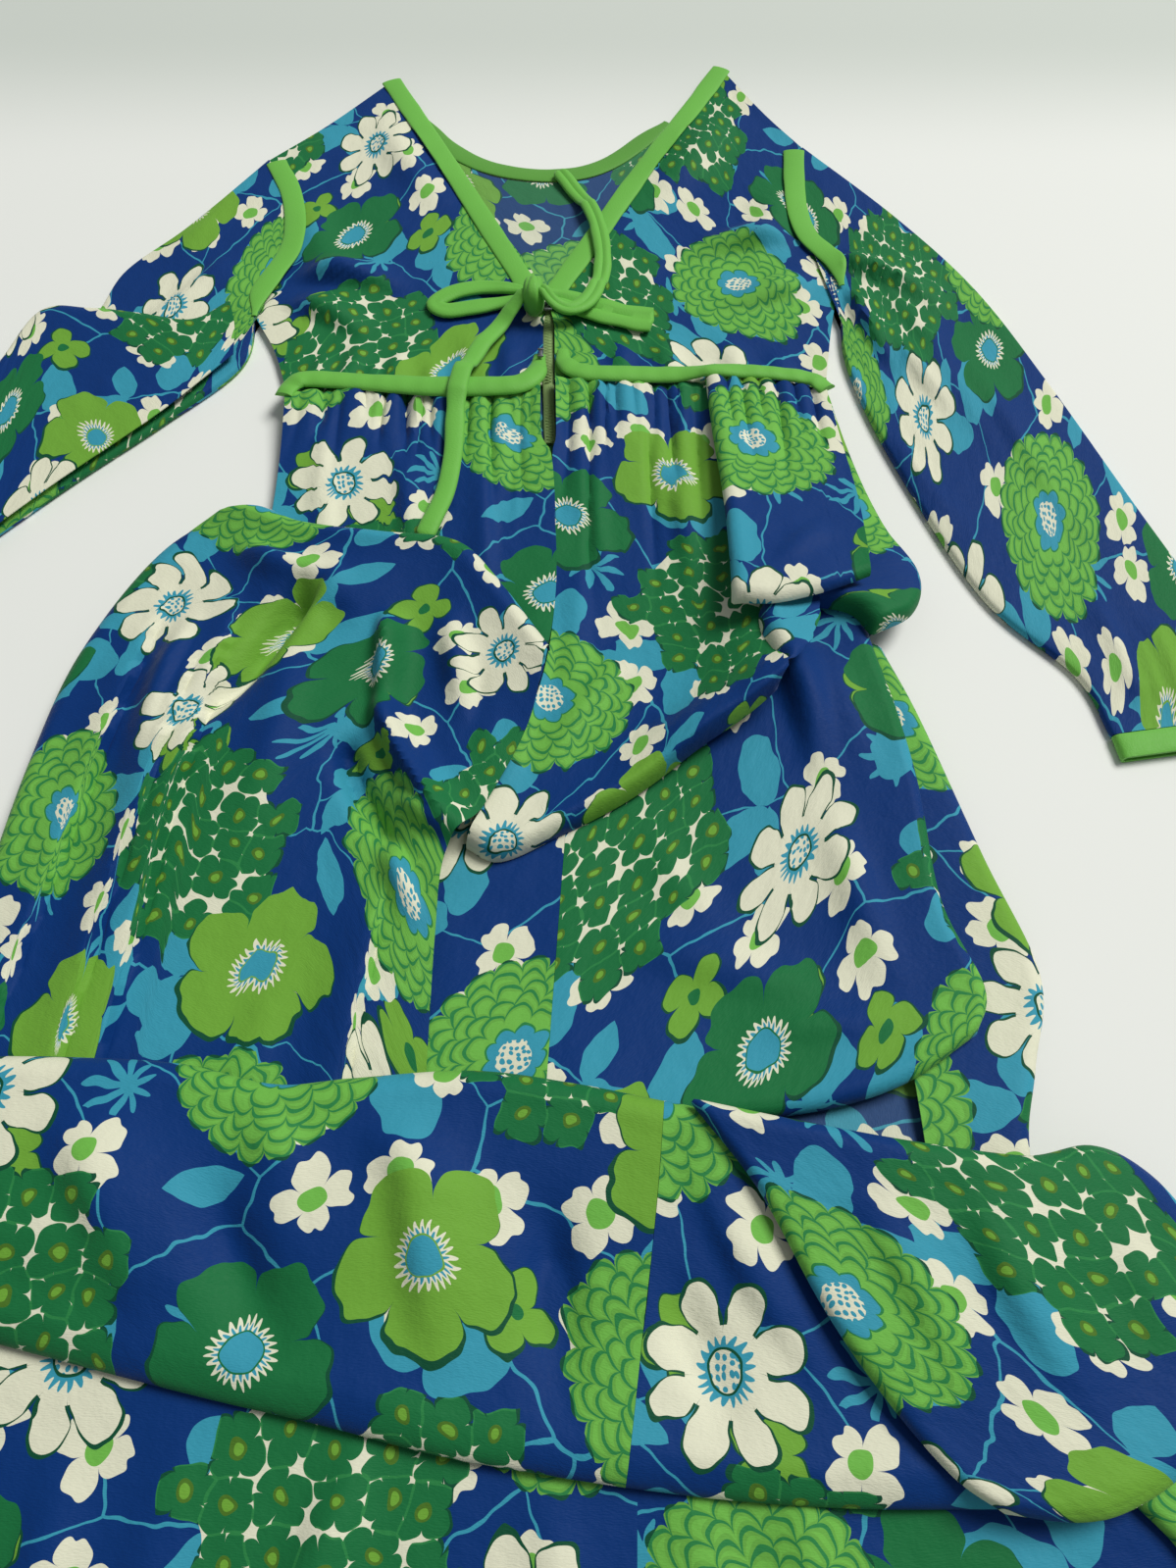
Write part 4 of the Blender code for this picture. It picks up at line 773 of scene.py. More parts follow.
SLEEVE_RIGHT = Sleeve(
    "sleeve_right",
    top=apart(ARMHOLE_RIGHT, ARMHOLE_GAP),
    bottom=((447, -272), (346, -287)),
    left=(SHOULDER_RIGHT, (274, 193), (325, 108), (362, 11), (400, -105), (428, -190), (447, -272)),
    right=((225, 116), (219, 66), (220, 18), (241, -67), (284, -182), (333, -243), (346, -287)),
    folds=(
        *fold_table(
            BOTH_FADE,
            (236, 150, 326, -120, 4, 12, -0.5, -10), (300, 60, 380, -180, 4, 12, -0.5, 8),
            (226, 110, 264, 0, 9, 9, -0.6, 6, 0.2), (218, 140, 306, 64, 9, 10, -0.6, -8, 0.15),
            (248, 70, 304, -50, 6, 10, -0.6, 4), (240, 200, 300, 100, 1.6, 10, 0, 6),
            (232, -20, 300, -150, 2, 9, 0, 8),
        ),
        *fold_table(
            START_OPEN,
            (366, -250, 350, -170, 3.4, 7), (379, -256, 374, -205, 2.4, 4),
            (392, -262, 384, -190, 3.4, 7, 0, 2), (405, -262, 402, -222, 2.4, 4),
            (418, -262, 408, -200, 3, 6, 0, -2), (434, -258, 428, -216, 2.4, 5),
        ),
    ),
    print_lay=Lay(40, 210, 24),
)

SLEEVE_LEFT_FOLD = Panel(
    "sleeve_left_fold",
    top=((-240, 84), (-266, 64), (-306, 71), (-345, 77), (-381, 74), (-403, 10), (-446, -56), (-500, -134)),
    bottom=((-230, 29), (-275, -29), (-335, -94), (-381, -148), (-431, -203), (-473, -254), (-501, -298)),
    left=((-240, 84), (-233, 58), (-230, 29)),
    right=((-500, -134), (-508, -214), (-501, -298)),
    across=9,
    down=4,
    rolls=(Roll(3.5, 7, 40), FLAT, FLAT, FLAT),
    folds=fold_table(
        BOTH_FADE,
        (-262, 52, -400, -104, 1.5, 2.4, 0, 2), (-330, 66, -420, -90, 1.2, 9, 0, 8),
        (-250, 40, -330, -60, 1, 8),
    ),
    print_lay=Lay(330, 60, -40),
)

WAIST_GATHERS_LEFT = (
    *fold_table(
        GATHERED,
        (-177, 3, -182, -83, -1.2, 3.1, -0.1, -4), (-162, 3, -166, -66, -3.4, 3, 0, -4),
        (-151, 3, -157, -60, -3.1, 3.7, 0.1, 2), (-146, 3, -150, -139, -2.3, 3.6),
        (-134, 3, -131, -45, -2.6, 2.5, -0.3, -3), (-122, 3, -120, -64, -2, 3.6, 0, 3),
        (-113, 3, -116, -71, -4.3, 2.7, -0.2, 3), (-102, 3, -99, -56, -4, 2.2, -0.1, 1),
        (-98, 3, -98, -83, -5, 4.6, 0.1, 1), (-89, 3, -91, -82, -3.4, 2.1, -0.3),
        (-80, 3, -78, -67, -4.5, 3.8, 0.4, 3), (-72, 3, -74, -90, -1.4, 2.9, -0.3, -3),
        (-62, 3, -66, -125, -5.2, 3.8, 0.3, 3), (-55, 3, -56, -91, -3.7, 3.4, 0.3),
        (-44, 3, -37, -149, -3.4, 3, -0.3, -2), (-37, 3, -41, -76, -3.1, 2.6, -0.4, 2),
        (-28, 3, -26, -142, -2.6, 4.8, 0.4, -4), (-19, 3, -14, -128, -3.3, 3, -0.1, 2),
        (-13, 6, -11, -80, -1.9, 2.8, -0.3, 1),
    ),
    *fold_table(
        BOTH_FADE,
        (-150, -30, -138, -190, 3.6, 8, 0.3, 4), (-104, -50, -86, -216, 4.2, 9, -0.3, -5),
        (-40, -46, -30, -236, 3.6, 8, 0.3, 4),
    ),
)
WAIST_GATHERS_RIGHT = (
    *fold_table(
        GATHERED,
        (14, 14, 9, -132, -3.9, 4.5, 0.1, -3), (25, 14, 26, -52, -2, 2.7, -0.1, -3),
        (30, 14, 30, -233, -4.3, 3.6, -0.3, 1), (42, 14, 42, -84, -2.6, 2.5, 0.4, 1),
        (48, 14, 49, -62, -3.7, 4.5, 0.3), (58, 14, 64, -71, -1.9, 2.9, 0, -1),
        (68, 14, 72, -220, -2.9, 3.4, -0.1, -1), (75, 14, 74, -83, -4.2, 3.5, 0, -1),
        (85, 14, 91, -125, -5.2, 4.8, 0.4, 1), (91, 14, 85, -82, -2.3, 2.9, 0.4, -4),
        (102, 14, 104, -194, -2.5, 4.1, 0.3, -1), (112, 14, 107, -120, -2.6, 3.8, 0.4, 2),
        (152, 10, 155, -64, -1.9, 5.4, -0.4, 3),
    ),
    *fold_table(
        BOTH_FADE,
        (30, -40, 44, -190, 3.6, 8, 0.3, 4), (84, -56, 92, -220, 4.2, 9, -0.3, -5),
    ),
)

SKIRT_UNDER = Panel(
    "skirt_under",
    top=((-182, -12), (-90, -8), (0, 7), (100, -5), (194, -12)),
    bottom=((-290, -786), (-100, -792), (100, -792), (322, -788)),
    left=(
        (-182, -12), (-176, -60), (-176, -104), (-222, -138), (-258, -200), (-282, -262), (-290, -340),
        (-296, -420), (-298, -520), (-292, -620), (-288, -700), (-290, -786),
    ),
    right=(
        (194, -12), (206, -92), (224, -160), (222, -196), (200, -224), (214, -276), (238, -360), (254, -440),
        (244, -492), (244, -536), (284, -552), (304, -600), (314, -680), (322, -786),
    ),
    across=9,
    down=17,
    print_lay=Lay(200, 60, 90),
)
UnderRow = namedtuple("UnderRow", "y height")
UNDER_HEIGHTS = (
    UnderRow(8, 1.4),
    UnderRow(-120, 4.0),
    UnderRow(-250, 6.0),
    UnderRow(-400, 7.0),
    UnderRow(-480, 9.0),
    UnderRow(-540, 17.0),
    UnderRow(-600, 16.0),
    UnderRow(-660, 8.0),
    UnderRow(-800, 3.0),
)
# The edges of the hidden layers round the rim: half a layer's height, how many show and how far each
# bulges out, the steps down the rim, and its sway.
RIM_LAYER, RIM_LAYERS, RIM_BULGE, RIM_STEPS = 0.7, 3, 0.9, 12
RIM_WAVE, RIM_SWAY, RIM_SEED = 60.0, 1.6, 11
UNDER_SIDE_REACH = 34.0

# Seams that two panels share, from top to bottom.
FRONT_SEAM = ((4, -74), (8, -172), (2, -240))
MIDDLE_SEAM = ((19, -310), (15, -363), (8, -490))
HEM_SEAM = ((52, -590), (50, -690), (48, -802))
BAND_SEAM = ((66, -511), (61, -560), (53, -618), (45, -673))

SKIRT_FRONT_LEFT = Panel(
    "skirt_front_left",
    top=((-186, -10), (-120, -4), (-60, -4), (-5.4, 3)),
    bottom=((-188, -168), (-120, -196), (-50, -236), (-5, -268)),
    left=((-186, -10), (-184, -65), (-184, -112), (-188, -168)),
    right=((-5.4, 3), (-4, -50), *FRONT_SEAM, (-5, -268)),
    across=28,
    down=5,
    rolls=(Roll(4.8, 7, 80), FLAT, FLAT, FLAT),
    folds=WAIST_GATHERS_LEFT,
    print_lay=Lay(30, 440, 0),
    fineness=0.6,
)

SKIRT_FRONT_RIGHT = Panel(
    "skirt_front_right",
    top=((4.9, 5), (60, 1), (120, -1), (198.5, -9)),
    bottom=(
        (-40, -364), (-21, -372), (12, -356), (51, -334), (92, -304), (126, -281), (143, -264), (139, -246),
        (134, -226), (139, -209), (166, -204), (192, -208), (204, -224),
    ),
    left=((4.9, 5), (6, -50), *apart(FRONT_SEAM, SEAM_GAP), (-14, -300), (-40, -364)),
    right=((198.5, -9), (206, -56), (215, -101), (226, -143), (239, -180), (230, -208), (204, -224)),
    across=25,
    down=7,
    rolls=(Roll(4.8, 7, 80), Roll(13, 10, 60), FLAT, Roll(3, 5, 60)),
    folds=(
        *WAIST_GATHERS_RIGHT,
        *fold_table(
            BOTH_FADE,
            (10, -200, -20, -352, 6, 9, 0.3, 6), (120, -262, 30, -318, 6, 11, 0, -8),
            (60, -230, 0, -330, 4, 8, 0.2, 6), (30, -140, 20, -300, 3, 9, 0, 4),
            (170, -236, 90, -282, 4, 9, 0, -6),
        ),
    ),
    print_lay=Lay(250, 380, 0),
    fineness=0.6,
)

SKIRT_FOLD_LEFT = Panel(
    "skirt_fold_left",
    top=((-210, -122), (-186, -122), (-157, -137), (-104, -150), (-56, -157), (-30, -184), (4, -236)),
    bottom=((-310, -535), (-230, -535), (-140, -535), (-54, -535)),
    left=((-210, -122), (-252, -156), (-288, -232), (-302, -310), (-308, -390), (-311, -470), (-310, -535)),
    right=((4, -236), (-6, -290), (-30, -345), (-50, -372), (-54, -420), (-54, -490), (-54, -535)),
    across=12,
    down=15,
    rolls=(Roll(15, 12, 45), FLAT, Roll(9, 10, 90), FLAT),
    folds=fold_table(
        BOTH_FADE,
        (-130, -150, -200, -480, 9, 62, 0, 0, 0.16), (-202, -148, -120, -184, 8, 9, 0.2, 10),
        (-146, -178, -226, -300, -16, 9, 0, -12, 0.2), (-124, -172, -204, -262, 9, 8, -0.4, -12),
        (-214, -196, -236, -330, 7, 8, 0.3, 4), (-60, -196, -22, -330, 8, 9, 0, 6),
        (-120, -196, -190, -240, -8, 18, 0, 0, 0.3), (-97, -206, -98, -306, 12, 8, -0.4, -3, 0.25),
        (-100, -268, -26, -376, 14, 7.5, -0.45, 10, 0.2), (-118, -292, -62, -384, -16, 7, 0, 8, 0.2),
        (-86, -328, -26, -372, 9, 7, -0.3, 6), (-40, -240, -30, -330, -5, 8, 0, 4),
        (-84, -356, -58, -420, 7, 6, 0.3, 3), (-205, -209, -248, -640, 6, 11, 0.9, 10, 0.2),
        (-186, -174, -228, -660, 6.4, 12, 0.9, 10, 0.2), (-234, -172, -290, -600, 5, 10, 0.9, 8, 0.2),
        (-83, -380, -112, -640, 4.6, 10, 0.9, 0, 0.2), (-150, -220, -176, -380, 4, 12, 0, -6),
        (-130, -420, -150, -560, 2, 12, 0, 4),
    ),
    print_lay=Lay(180, 120, 8),
    fineness=0.75,
)

SKIRT_MIDDLE_LEFT = Panel(
    "skirt_middle_left",
    top=((-74, -330), (-30, -320), (19, -310)),
    bottom=((-76, -538), (-30, -540), (7, -541)),
    left=((-74, -330), (-76, -430), (-76, -538)),
    right=(*MIDDLE_SEAM, (7, -541)),
    across=5,
    down=7,
    print_lay=Lay(90, 20, 0),
)

SKIRT_MIDDLE_RIGHT = Panel(
    "skirt_middle_right",
    top=((19.05, -310), (60, -280), (110, -240), (150, -196), (200, -182)),
    bottom=((7.45, -520), (60, -520), (110, -516), (153, -510), (190, -498), (228, -474)),
    left=(*apart(MIDDLE_SEAM, SEAM_GAP), (7.45, -520)),
    right=((200, -182), (203, -222), (213, -276), (219, -329), (221, -400), (236, -450), (228, -474)),
    across=9,
    down=9,
    rolls=(FLAT, Roll(7, 8, 50), FLAT, Roll(6, 7, 60)),
    folds=fold_table(
        BOTH_FADE,
        (143, -206, 164, -336, 11, 11, -0.3, -6), (166, -330, 196, -470, 5, 11, 0, 4),
        (30, -420, 180, -470, 5, 13, 0, -8), (60, -340, 120, -440, 2.4, 12, 0, 8),
        (176, -230, 192, -330, 3, 8), (100, -470, 214, -462, 3.4, 8, 0, 4),
    ),
    print_lay=Lay(310, 250, -4),
)

SKIRT_EDGE_RIGHT = Panel(
    "skirt_edge_right",
    top=((176, -214), (196, -222), (212, -228)),
    bottom=((196, -552), (222, -550), (245, -546)),
    left=((176, -214), (182, -300), (190, -400), (194, -480), (196, -552)),
    right=((212, -228), (229, -279), (252, -370), (270, -440), (258, -488), (248, -520), (245, -546)),
    across=3,
    down=9,
    rolls=(FLAT, FLAT, FLAT, Roll(5, 7, 60)),
    print_lay=Lay(80, 160, 20),
)

SKIRT_PLEAT_RIGHT = Panel(
    "skirt_pleat_right",
    top=((113, -1), (155, -2), (196, -12)),
    bottom=((117, -214), (140, -216), (168, -208), (202, -192)),
    left=((113, -1), (115, -60), (118, -121), (118, -175), (117, -214)),
    right=((196, -12), (200, -62), (204, -115), (204, -156), (202, -192)),
    across=7,
    down=6,
    rolls=(Roll(2.0, 6, 50), Roll(6, 7, 50), Roll(5, 6, 50), FLAT),
    folds=(
        *fold_table(
            GATHERED,
            (126, 10, 128, -80, -2.8, 2.8), (138, 10, 141, -112, -3.4, 3.2, 0, 2),
            (149, 10, 149, -66, -2.6, 2.6), (161, 10, 158, -124, -3.4, 3.2, 0, -2),
            (174, 8, 175, -74, -2.8, 2.8), (186, 4, 188, -96, -3, 3),
        ),
        *fold_table(
            BOTH_FADE,
            (186, -150, 140, -196, 3, 8, 0, 4),
        ),
    ),
    print_lay=Lay(340, 330, 0),
    fineness=0.6,
)

SKIRT_HEM_LEFT = Panel(
    "skirt_hem_left",
    top=((-298, -590), (-120, -590), (52, -590)),
    bottom=((-300, -796), (-120, -802), (48, -802)),
    left=((-298, -590), (-302, -690), (-300, -796)),
    right=HEM_SEAM,
    across=9,
    down=6,
    rolls=(FLAT, FLAT, Roll(3, 5, 60), FLAT),
    folds=fold_table(
        BOTH_FADE,
        (-60, -640, -110, -790, 6, 12, 0, 6), (-200, -650, -230, -780, 4, 13, 0, -6),
        (10, -660, 24, -790, 3, 11), (-150, -640, -160, -760, 2.4, 14, 0, 4),
    ),
    print_lay=Lay(390, 130, 3),
)

SKIRT_HEM_RIGHT = Panel(
    "skirt_hem_right",
    top=((52.05, -590), (160, -590), (262, -590)),
    bottom=((48.05, -802), (190, -802), (330, -796)),
    left=apart(HEM_SEAM, SEAM_GAP),
    right=((262, -590), (296, -660), (322, -730), (330, -796)),
    across=8,
    down=6,
    rolls=(FLAT, FLAT, FLAT, Roll(3, 5, 60)),
    folds=fold_table(
        BOTH_FADE,
        (120, -650, 140, -790, 4, 13, 0, 4), (210, -690, 250, -790, 3, 13, 0, 4),
        (76, -660, 84, -780, 2.4, 12),
    ),
    print_lay=Lay(40, 60, -3),
)

SKIRT_CORNER_RIGHT = Panel(
    "skirt_corner_right",
    top=((248, -628), (290, -622), (334, -626)),
    bottom=((316, -780), (330, -784), (344, -784)),
    left=((248, -628), (258, -668), (284, -698), (300, -736), (316, -780)),
    right=((334, -626), (342, -700), (344, -784)),
    across=3,
    down=5,
    rolls=(FLAT, FLAT, Roll(5, 7, 60), Roll(3, 5, 60)),
    print_lay=Lay(300, 300, 30),
)

SKIRT_BAND_LEFT = Panel(
    "skirt_band_left",
    top=(
        (-308, -489), (-230, -490), (-176, -493), (-128, -503), (-90, -500), (-30, -496), (20, -502),
        (66, -511),
    ),
    bottom=((-304, -602), (-240, -617), (-151, -637), (-91, -649), (-37, -661), (8, -668), (45, -673)),
    left=((-308, -489), (-314, -545), (-304, -602)),
    right=BAND_SEAM,
    across=14,
    down=5,
    rolls=(Roll(9, 10, 70), Roll(7, 14, 40), Roll(7, 9, 90), FLAT),
    folds=fold_table(
        BOTH_FADE,
        (-300, -556, 66, -590, 5, 42, 0, 0, 0.14), (-60, -508, -24, -650, 8, 18, -0.4, 6),
        (-236, -508, -166, -622, 8, 20, -0.4, -6), (-160, -530, -96, -640, -9, 15, 0, 6),
        (6, -540, 20, -664, -8, 12), (-300, -520, -256, -600, -6, 12), (-140, -512, -100, -560, 4, 11),
        (-90, -512, -10, -566, 3, 10, 0, 6), (-280, -560, -120, -596, 2.4, 13, 0, 4),
    ),
    print_lay=Lay(110, 380, 2),
)

SKIRT_BAND_MIDDLE = Panel(
    "skirt_band_middle",
    top=((66.05, -511), (110, -519), (160, -528), (210, -536)),
    bottom=((45.05, -673), (93, -678), (150, -681), (215, -681)),
    left=apart(BAND_SEAM, SEAM_GAP),
    right=((210, -536), (216, -600), (215, -681)),
    across=5,
    down=5,
    rolls=(Roll(9, 10, 70), Roll(7, 14, 40), FLAT, FLAT),
    folds=fold_table(
        BOTH_FADE,
        (74, -530, 150, -650, 5, 10, -0.4, 6), (60, -580, 100, -668, -5, 10),
    ),
    print_lay=Lay(20, 470, 0),
)

SKIRT_BAND_RIGHT = Panel(
    "skirt_band_right",
    top=((80, -512), (133, -523), (190, -533), (240, -538), (275, -532), (300, -543), (320, -568)),
    bottom=((207, -682), (238, -685), (262, -680), (292, -664), (334, -632)),
    left=((80, -512), (110, -552), (136, -602), (160, -638), (186, -668), (207, -682)),
    right=((320, -568), (332, -598), (334, -632)),
    across=9,
    down=5,
    rolls=(Roll(6, 9, 50), Roll(6, 12, 40), Roll(4, 6, 60), Roll(3, 6, 60)),
    folds=fold_table(
        BOTH_FADE,
        (206, -546, 262, -654, 6, 14, -0.4, 8), (150, -548, 200, -650, 4, 11, -0.4, -4),
        (276, -560, 312, -640, 2.2, 11, 0, 6),
    ),
    print_lay=Lay(200, 200, -6),
)

NECK_BINDING_LEFT = ((-143, 371), (-104, 290), (-66, 212), (-38, 152), (-22, 118), (-14, 98))
NECK_BINDING_RIGHT = ((146, 391), (104, 306), (62, 226), (32, 162), (13, 122), (2, 98))
NECK_BINDING_BACK = ((-114, 325), (-92, 289), (-53, 259), (0, 249), (45, 264), (96, 319))
ARMHOLE_BINDING_LEFT = (
    (-229, 258), (-213, 222), (-204, 182), (-204, 150), (-214, 120), (-221, 98), (-222, 74),
)
ARMHOLE_BINDING_RIGHT = ((200, 274), (197, 235), (196, 197), (201, 167), (212, 147), (220, 130), (222, 106))
WAIST_BAND_LEFT = (
    (-187, -16), (-182, -4), (-170, 2), (-130, -3), (-84, -8), (-42, -8), (-21, -5), (-11, 5), (-8, 20),
    (-7, 33),
)
WAIST_BAND_RIGHT = ((10, 36), (12, 22), (26, 9), (70, 6), (114, 4), (160, 3), (186, -3), (197, -16))
ZIP_LINE = ((-1.4, 86), (-0.8, 30), (0.6, -20), (2, -50))

# A metal fitting is made of rounded bars: each bar's place aside, along and above, its size and its bevel.
Bar = namedtuple("Bar", "aside along above size bevel")
HOOK_PLACE, SLIDER_PLACE = (-6, 30), (-1.5, 84)
HOOK_BARS = (
    Bar(0, 0, 0.6, (2.6, 9.0, 1.1), 0.4), Bar(0, -3.4, 1.2, (4.6, 1.6, 1.2), 0.4),
    Bar(0, 3.4, 1.2, (4.6, 1.6, 1.2), 0.4),
)
SLIDER_BARS = (Bar(0, 0, 0.9, (6.6, 8.6, 1.8), 0.7), Bar(0, 1.0, 2.1, (1.6, 5.0, 1.6), 0.5))

# The knot's width, length and wall, and its grooves: depth, slant and place on a ball of radius 1.
KNOT_PLACE, KNOT_SIZE, KNOT_SQUARENESS = (-12, 83), (16.5, 26.0, 1.6), 0.8
KNOT_GROOVES, KNOT_GROOVE_WIDTH = ((0.1, -0.3, -0.45), (0.08, 0.2, 0.4)), 0.13
BOW_LOOP_LEFT = (
    (-16, 96), (-28, 101), (-50, 105), (-70, 101), (-83, 93), (-87, 86), (-78, 80), (-60, 83),
    (-42, 87), (-28, 89),
    (-17, 90),
)
BOW_LOOP_RIGHT = ((-8, 91), (10, 88), (30, 81), (50, 74), (66, 70), (78, 68))
TIE_TAIL_DOWN = (
    (-16, 84), (-25, 76), (-37, 62), (-48, 42), (-57, 17), (-62, -8), (-64, -33), (-64, -72),
    (-68, -108), (-79, -146),
)
TIE_TAIL_UP = (
    (-8, 81), (3, 73), (16, 70), (28, 80), (36, 101), (40, 136), (36, 175), (27, 206), (15, 229), (4, 249),
)


# The printed repeat: width and height in millimetres, and each kind of flower's places and turns.
# A turn past a whole circle marks the kind's second colour.
REPEAT = (460.0, 540.0)
DARK = 2 * math.pi
Motif = namedtuple("Motif", "x y turn")
SCALED_FLOWERS = (Motif(92, 108, 0.2), Motif(332, 262, 1.1), Motif(118, 392, 2.0), Motif(402, 474, 0.7))
FLORET_BALLS = (Motif(222, 176, 0.4), Motif(262, 424, 1.9), Motif(10, 258, 2.9), Motif(448, 42, 1.2))
BROAD_FLOWERS = (
    Motif(178, 16, 0.5), Motif(426, 160, 1.0 + DARK), Motif(212, 292, 2.2), Motif(16, 470, 0.3 + DARK),
    Motif(330, 362, 1.4), Motif(276, 14, 1.8 + DARK), Motif(130, 254, 0.9 + DARK),
)
PETALLED_FLOWERS = (Motif(182, 484, 0.2), Motif(440, 352, 1.3), Motif(322, 96, 0.7), Motif(82, 2, 1.1))
# Small motifs scattered without a repeat: the spacing of their places, the sideways scatter, the shift.
Scatter = namedtuple("Scatter", "spacing jitter shift")
SMALL_MOTIFS = Scatter(50.0, 0.44, (13.0, 41.0, 0.0))
LEAF_PAIRS = Scatter(118.0, 0.5, (310.0, 120.0, 0.0))
FLORETS = Scatter(22.5, 0.36, (0.0, 0.0, 0.0))
# Which chance between 0 and 1 prints which small motif at a place.
BLOSSOM_SHARE, OLIVE_SHARE, SPRIG_SHARE, LEAF_SHARE = (0.0, 0.46), (0.46, 0.6), (0.6, 0.74), (0.74, 0.9)
# The hand-drawn wobble of every outline: its wave and its reach.
WOBBLE_WAVE, WOBBLE_REACH = 17.0, 7.0
# Stems: the wave and reach of their sway, their spacing, and their width as a share of it.
STEM_WAVE, STEM_SWAY, STEM_SPACING, STEM_WIDTH = 90.0, 34.0, 84.0, 0.0085
# A leaf of a pair: its turn, its middle's distance, half its length and half its width.
LEAF_SPREAD, LEAF_MIDDLE, LEAF_LONG, LEAF_WIDE = 0.64, 31.0, 25.0, 13.5
# The cream spots in a flower's centre: their spacing, scatter and size.
SPOT_SPACING, SPOT_SCATTER, SPOT_SIZE = 3.6, 0.5, 0.34
# A ball of florets: its radius, its border without a middle, and its rim without a cream ground.
BALL_RADIUS, BALL_BORDER, BALL_RIM = 74.0, 9.0, 20.0
# A flower's edge: its petals, their radius at the tip and at the notch, and how blunt they are.
Petals = namedtuple("Petals", "count tip notch bluntness")
OLIVE_PETALS, FLORET_PETALS = Petals(4, 19.0, 8.5, 0.5), Petals(4, 14.2, 7.4, 0.36)
BROAD_PETALS, CREAM_PETALS = Petals(5, 43.0, 22.0, 0.3), Petals(8, 39.0, 14.0, 0.42)
CENTRE_PETALS, SCALE_BLUNTNESS = Petals(8, 17.0, 13.0, 0.6), 0.55
# How wide the dark rims are, and how much wider on their lower side.
OLIVE_RIM, FLORET_RIM, BROAD_RIM = 1.5, 2.0, 1.2
CREAM_RIM, SCALED_RIM, CENTRE_RIM, RIM_SHADOW = 2.2, 1.8, 1.2, 0.05
# A small leaf: how fast it narrows, half its width at its middle and how that shrinks outwards.
LEAF_NARROWS, LEAF_HALF, LEAF_SHRINKS = 0.0025, 8.5, 0.12
# A sprig: its points, how thin they are, their length, how much longer on one side, and its core.
SPRIG_POINTS, SPRIG_THIN, SPRIG_LONG, SPRIG_SIDE, SPRIG_CORE = 9, 2.2, 17.0, 0.3, 5.0
# A blossom: how blunt its petals are, their length and how much it varies, its core, its notches.
BLOSSOM_BLUNT, BLOSSOM_LONG, BLOSSOM_UNEVEN, BLOSSOM_CORE, BLOSSOM_NOTCH = 0.42, 12.5, 2.5, 6.5, 2.8
# Fringes round a flower's centre: their points, depth and middle radius.
BROAD_TEETH, CREAM_TEETH = (24.0, 2.4, 13.5), (19.0, 2.2, 12.0)
BROAD_TEETH_RIM, SPOKE_WIDTH, SPOKE_START = 3.4, 0.24, 19.0
# Radii of the round centres.
OLIVE_CENTRE, BLOSSOM_CENTRE, FLORET_CENTRE, FLORET_DOT = 4.6, 6.4, 3.7, 2.2
BROAD_CENTRE, BROAD_FRINGE, CREAM_CENTRE, CREAM_SPECKLE, SCALED_SPECKLE = 8.6, 9.4, 8.6, 7.4, 9.6
# Rings of scales, from the rim inwards: radius at the notches, depth of the scallops, scales, turn.
Ring = namedtuple("Ring", "radius depth scales turn")
SCALE_RINGS = (
    Ring(46.5, 7.5, 21, 0.0), Ring(40.0, 7.0, 19, 0.6), Ring(33.5, 7.0, 16, 0.3), Ring(27.0, 6.5, 13, 1.1),
    Ring(21.0, 6.0, 10, 0.5),
)
# The lines between the scales and the darker tint beside them, half their width each.
SCALE_LINE, SCALE_TINT = 0.9, 2.5
# A motif's turn is kept in the third number of its way, scaled down by this.
TURN_MARK = 0.01


def arithmetic(operation, backwards=False):
    """A method that adds the Math node of an operation, its values swapped if backwards."""

    def method(self, *others):
        return self.graph.math(operation, *((*others, self) if backwards else (self, *others)))

    return method


class Signal:
    """One output of a shader's node. Arithmetic on it adds Math nodes."""

    def __init__(self, graph, socket):
        self.graph, self.socket = graph, socket

    __add__, __radd__ = arithmetic("ADD"), arithmetic("ADD", True)
    __sub__, __rsub__ = arithmetic("SUBTRACT"), arithmetic("SUBTRACT", True)
    __mul__, __rmul__ = arithmetic("MULTIPLY"), arithmetic("MULTIPLY", True)
    __truediv__, __pow__ = arithmetic("DIVIDE"), arithmetic("POWER")
    __lt__, __gt__ = arithmetic("LESS_THAN"), arithmetic("GREATER_THAN")
    __abs__, least = arithmetic("ABSOLUTE"), arithmetic("MINIMUM")
    cosine, sine = arithmetic("COSINE"), arithmetic("SINE")


class Arrow(Signal):
    """A vector output. Arithmetic on it adds Vector Math nodes."""

    def __sub__(self, other):
        return self.graph.vector("SUBTRACT", self, other)

    def scaled(self, factor):
        values = {0: self, "Scale": factor}
        return self.graph.node("ShaderNodeVectorMath", {"operation": "SCALE"}, values, form=Arrow)

    def length(self):
        return self.graph.node("ShaderNodeVectorMath", {"operation": "LENGTH"}, {0: self}, output="Value")

    def wrapped(self, half):
        high, low = (half[0], half[1], 1.0), (-half[0], -half[1], -1.0)
        return self.graph.vector("WRAP", self, high, low)

    def parts(self):
        split = self.graph.node("ShaderNodeSeparateXYZ", {}, {0: self})
        return [Signal(self.graph, socket) for socket in split.socket.node.outputs]


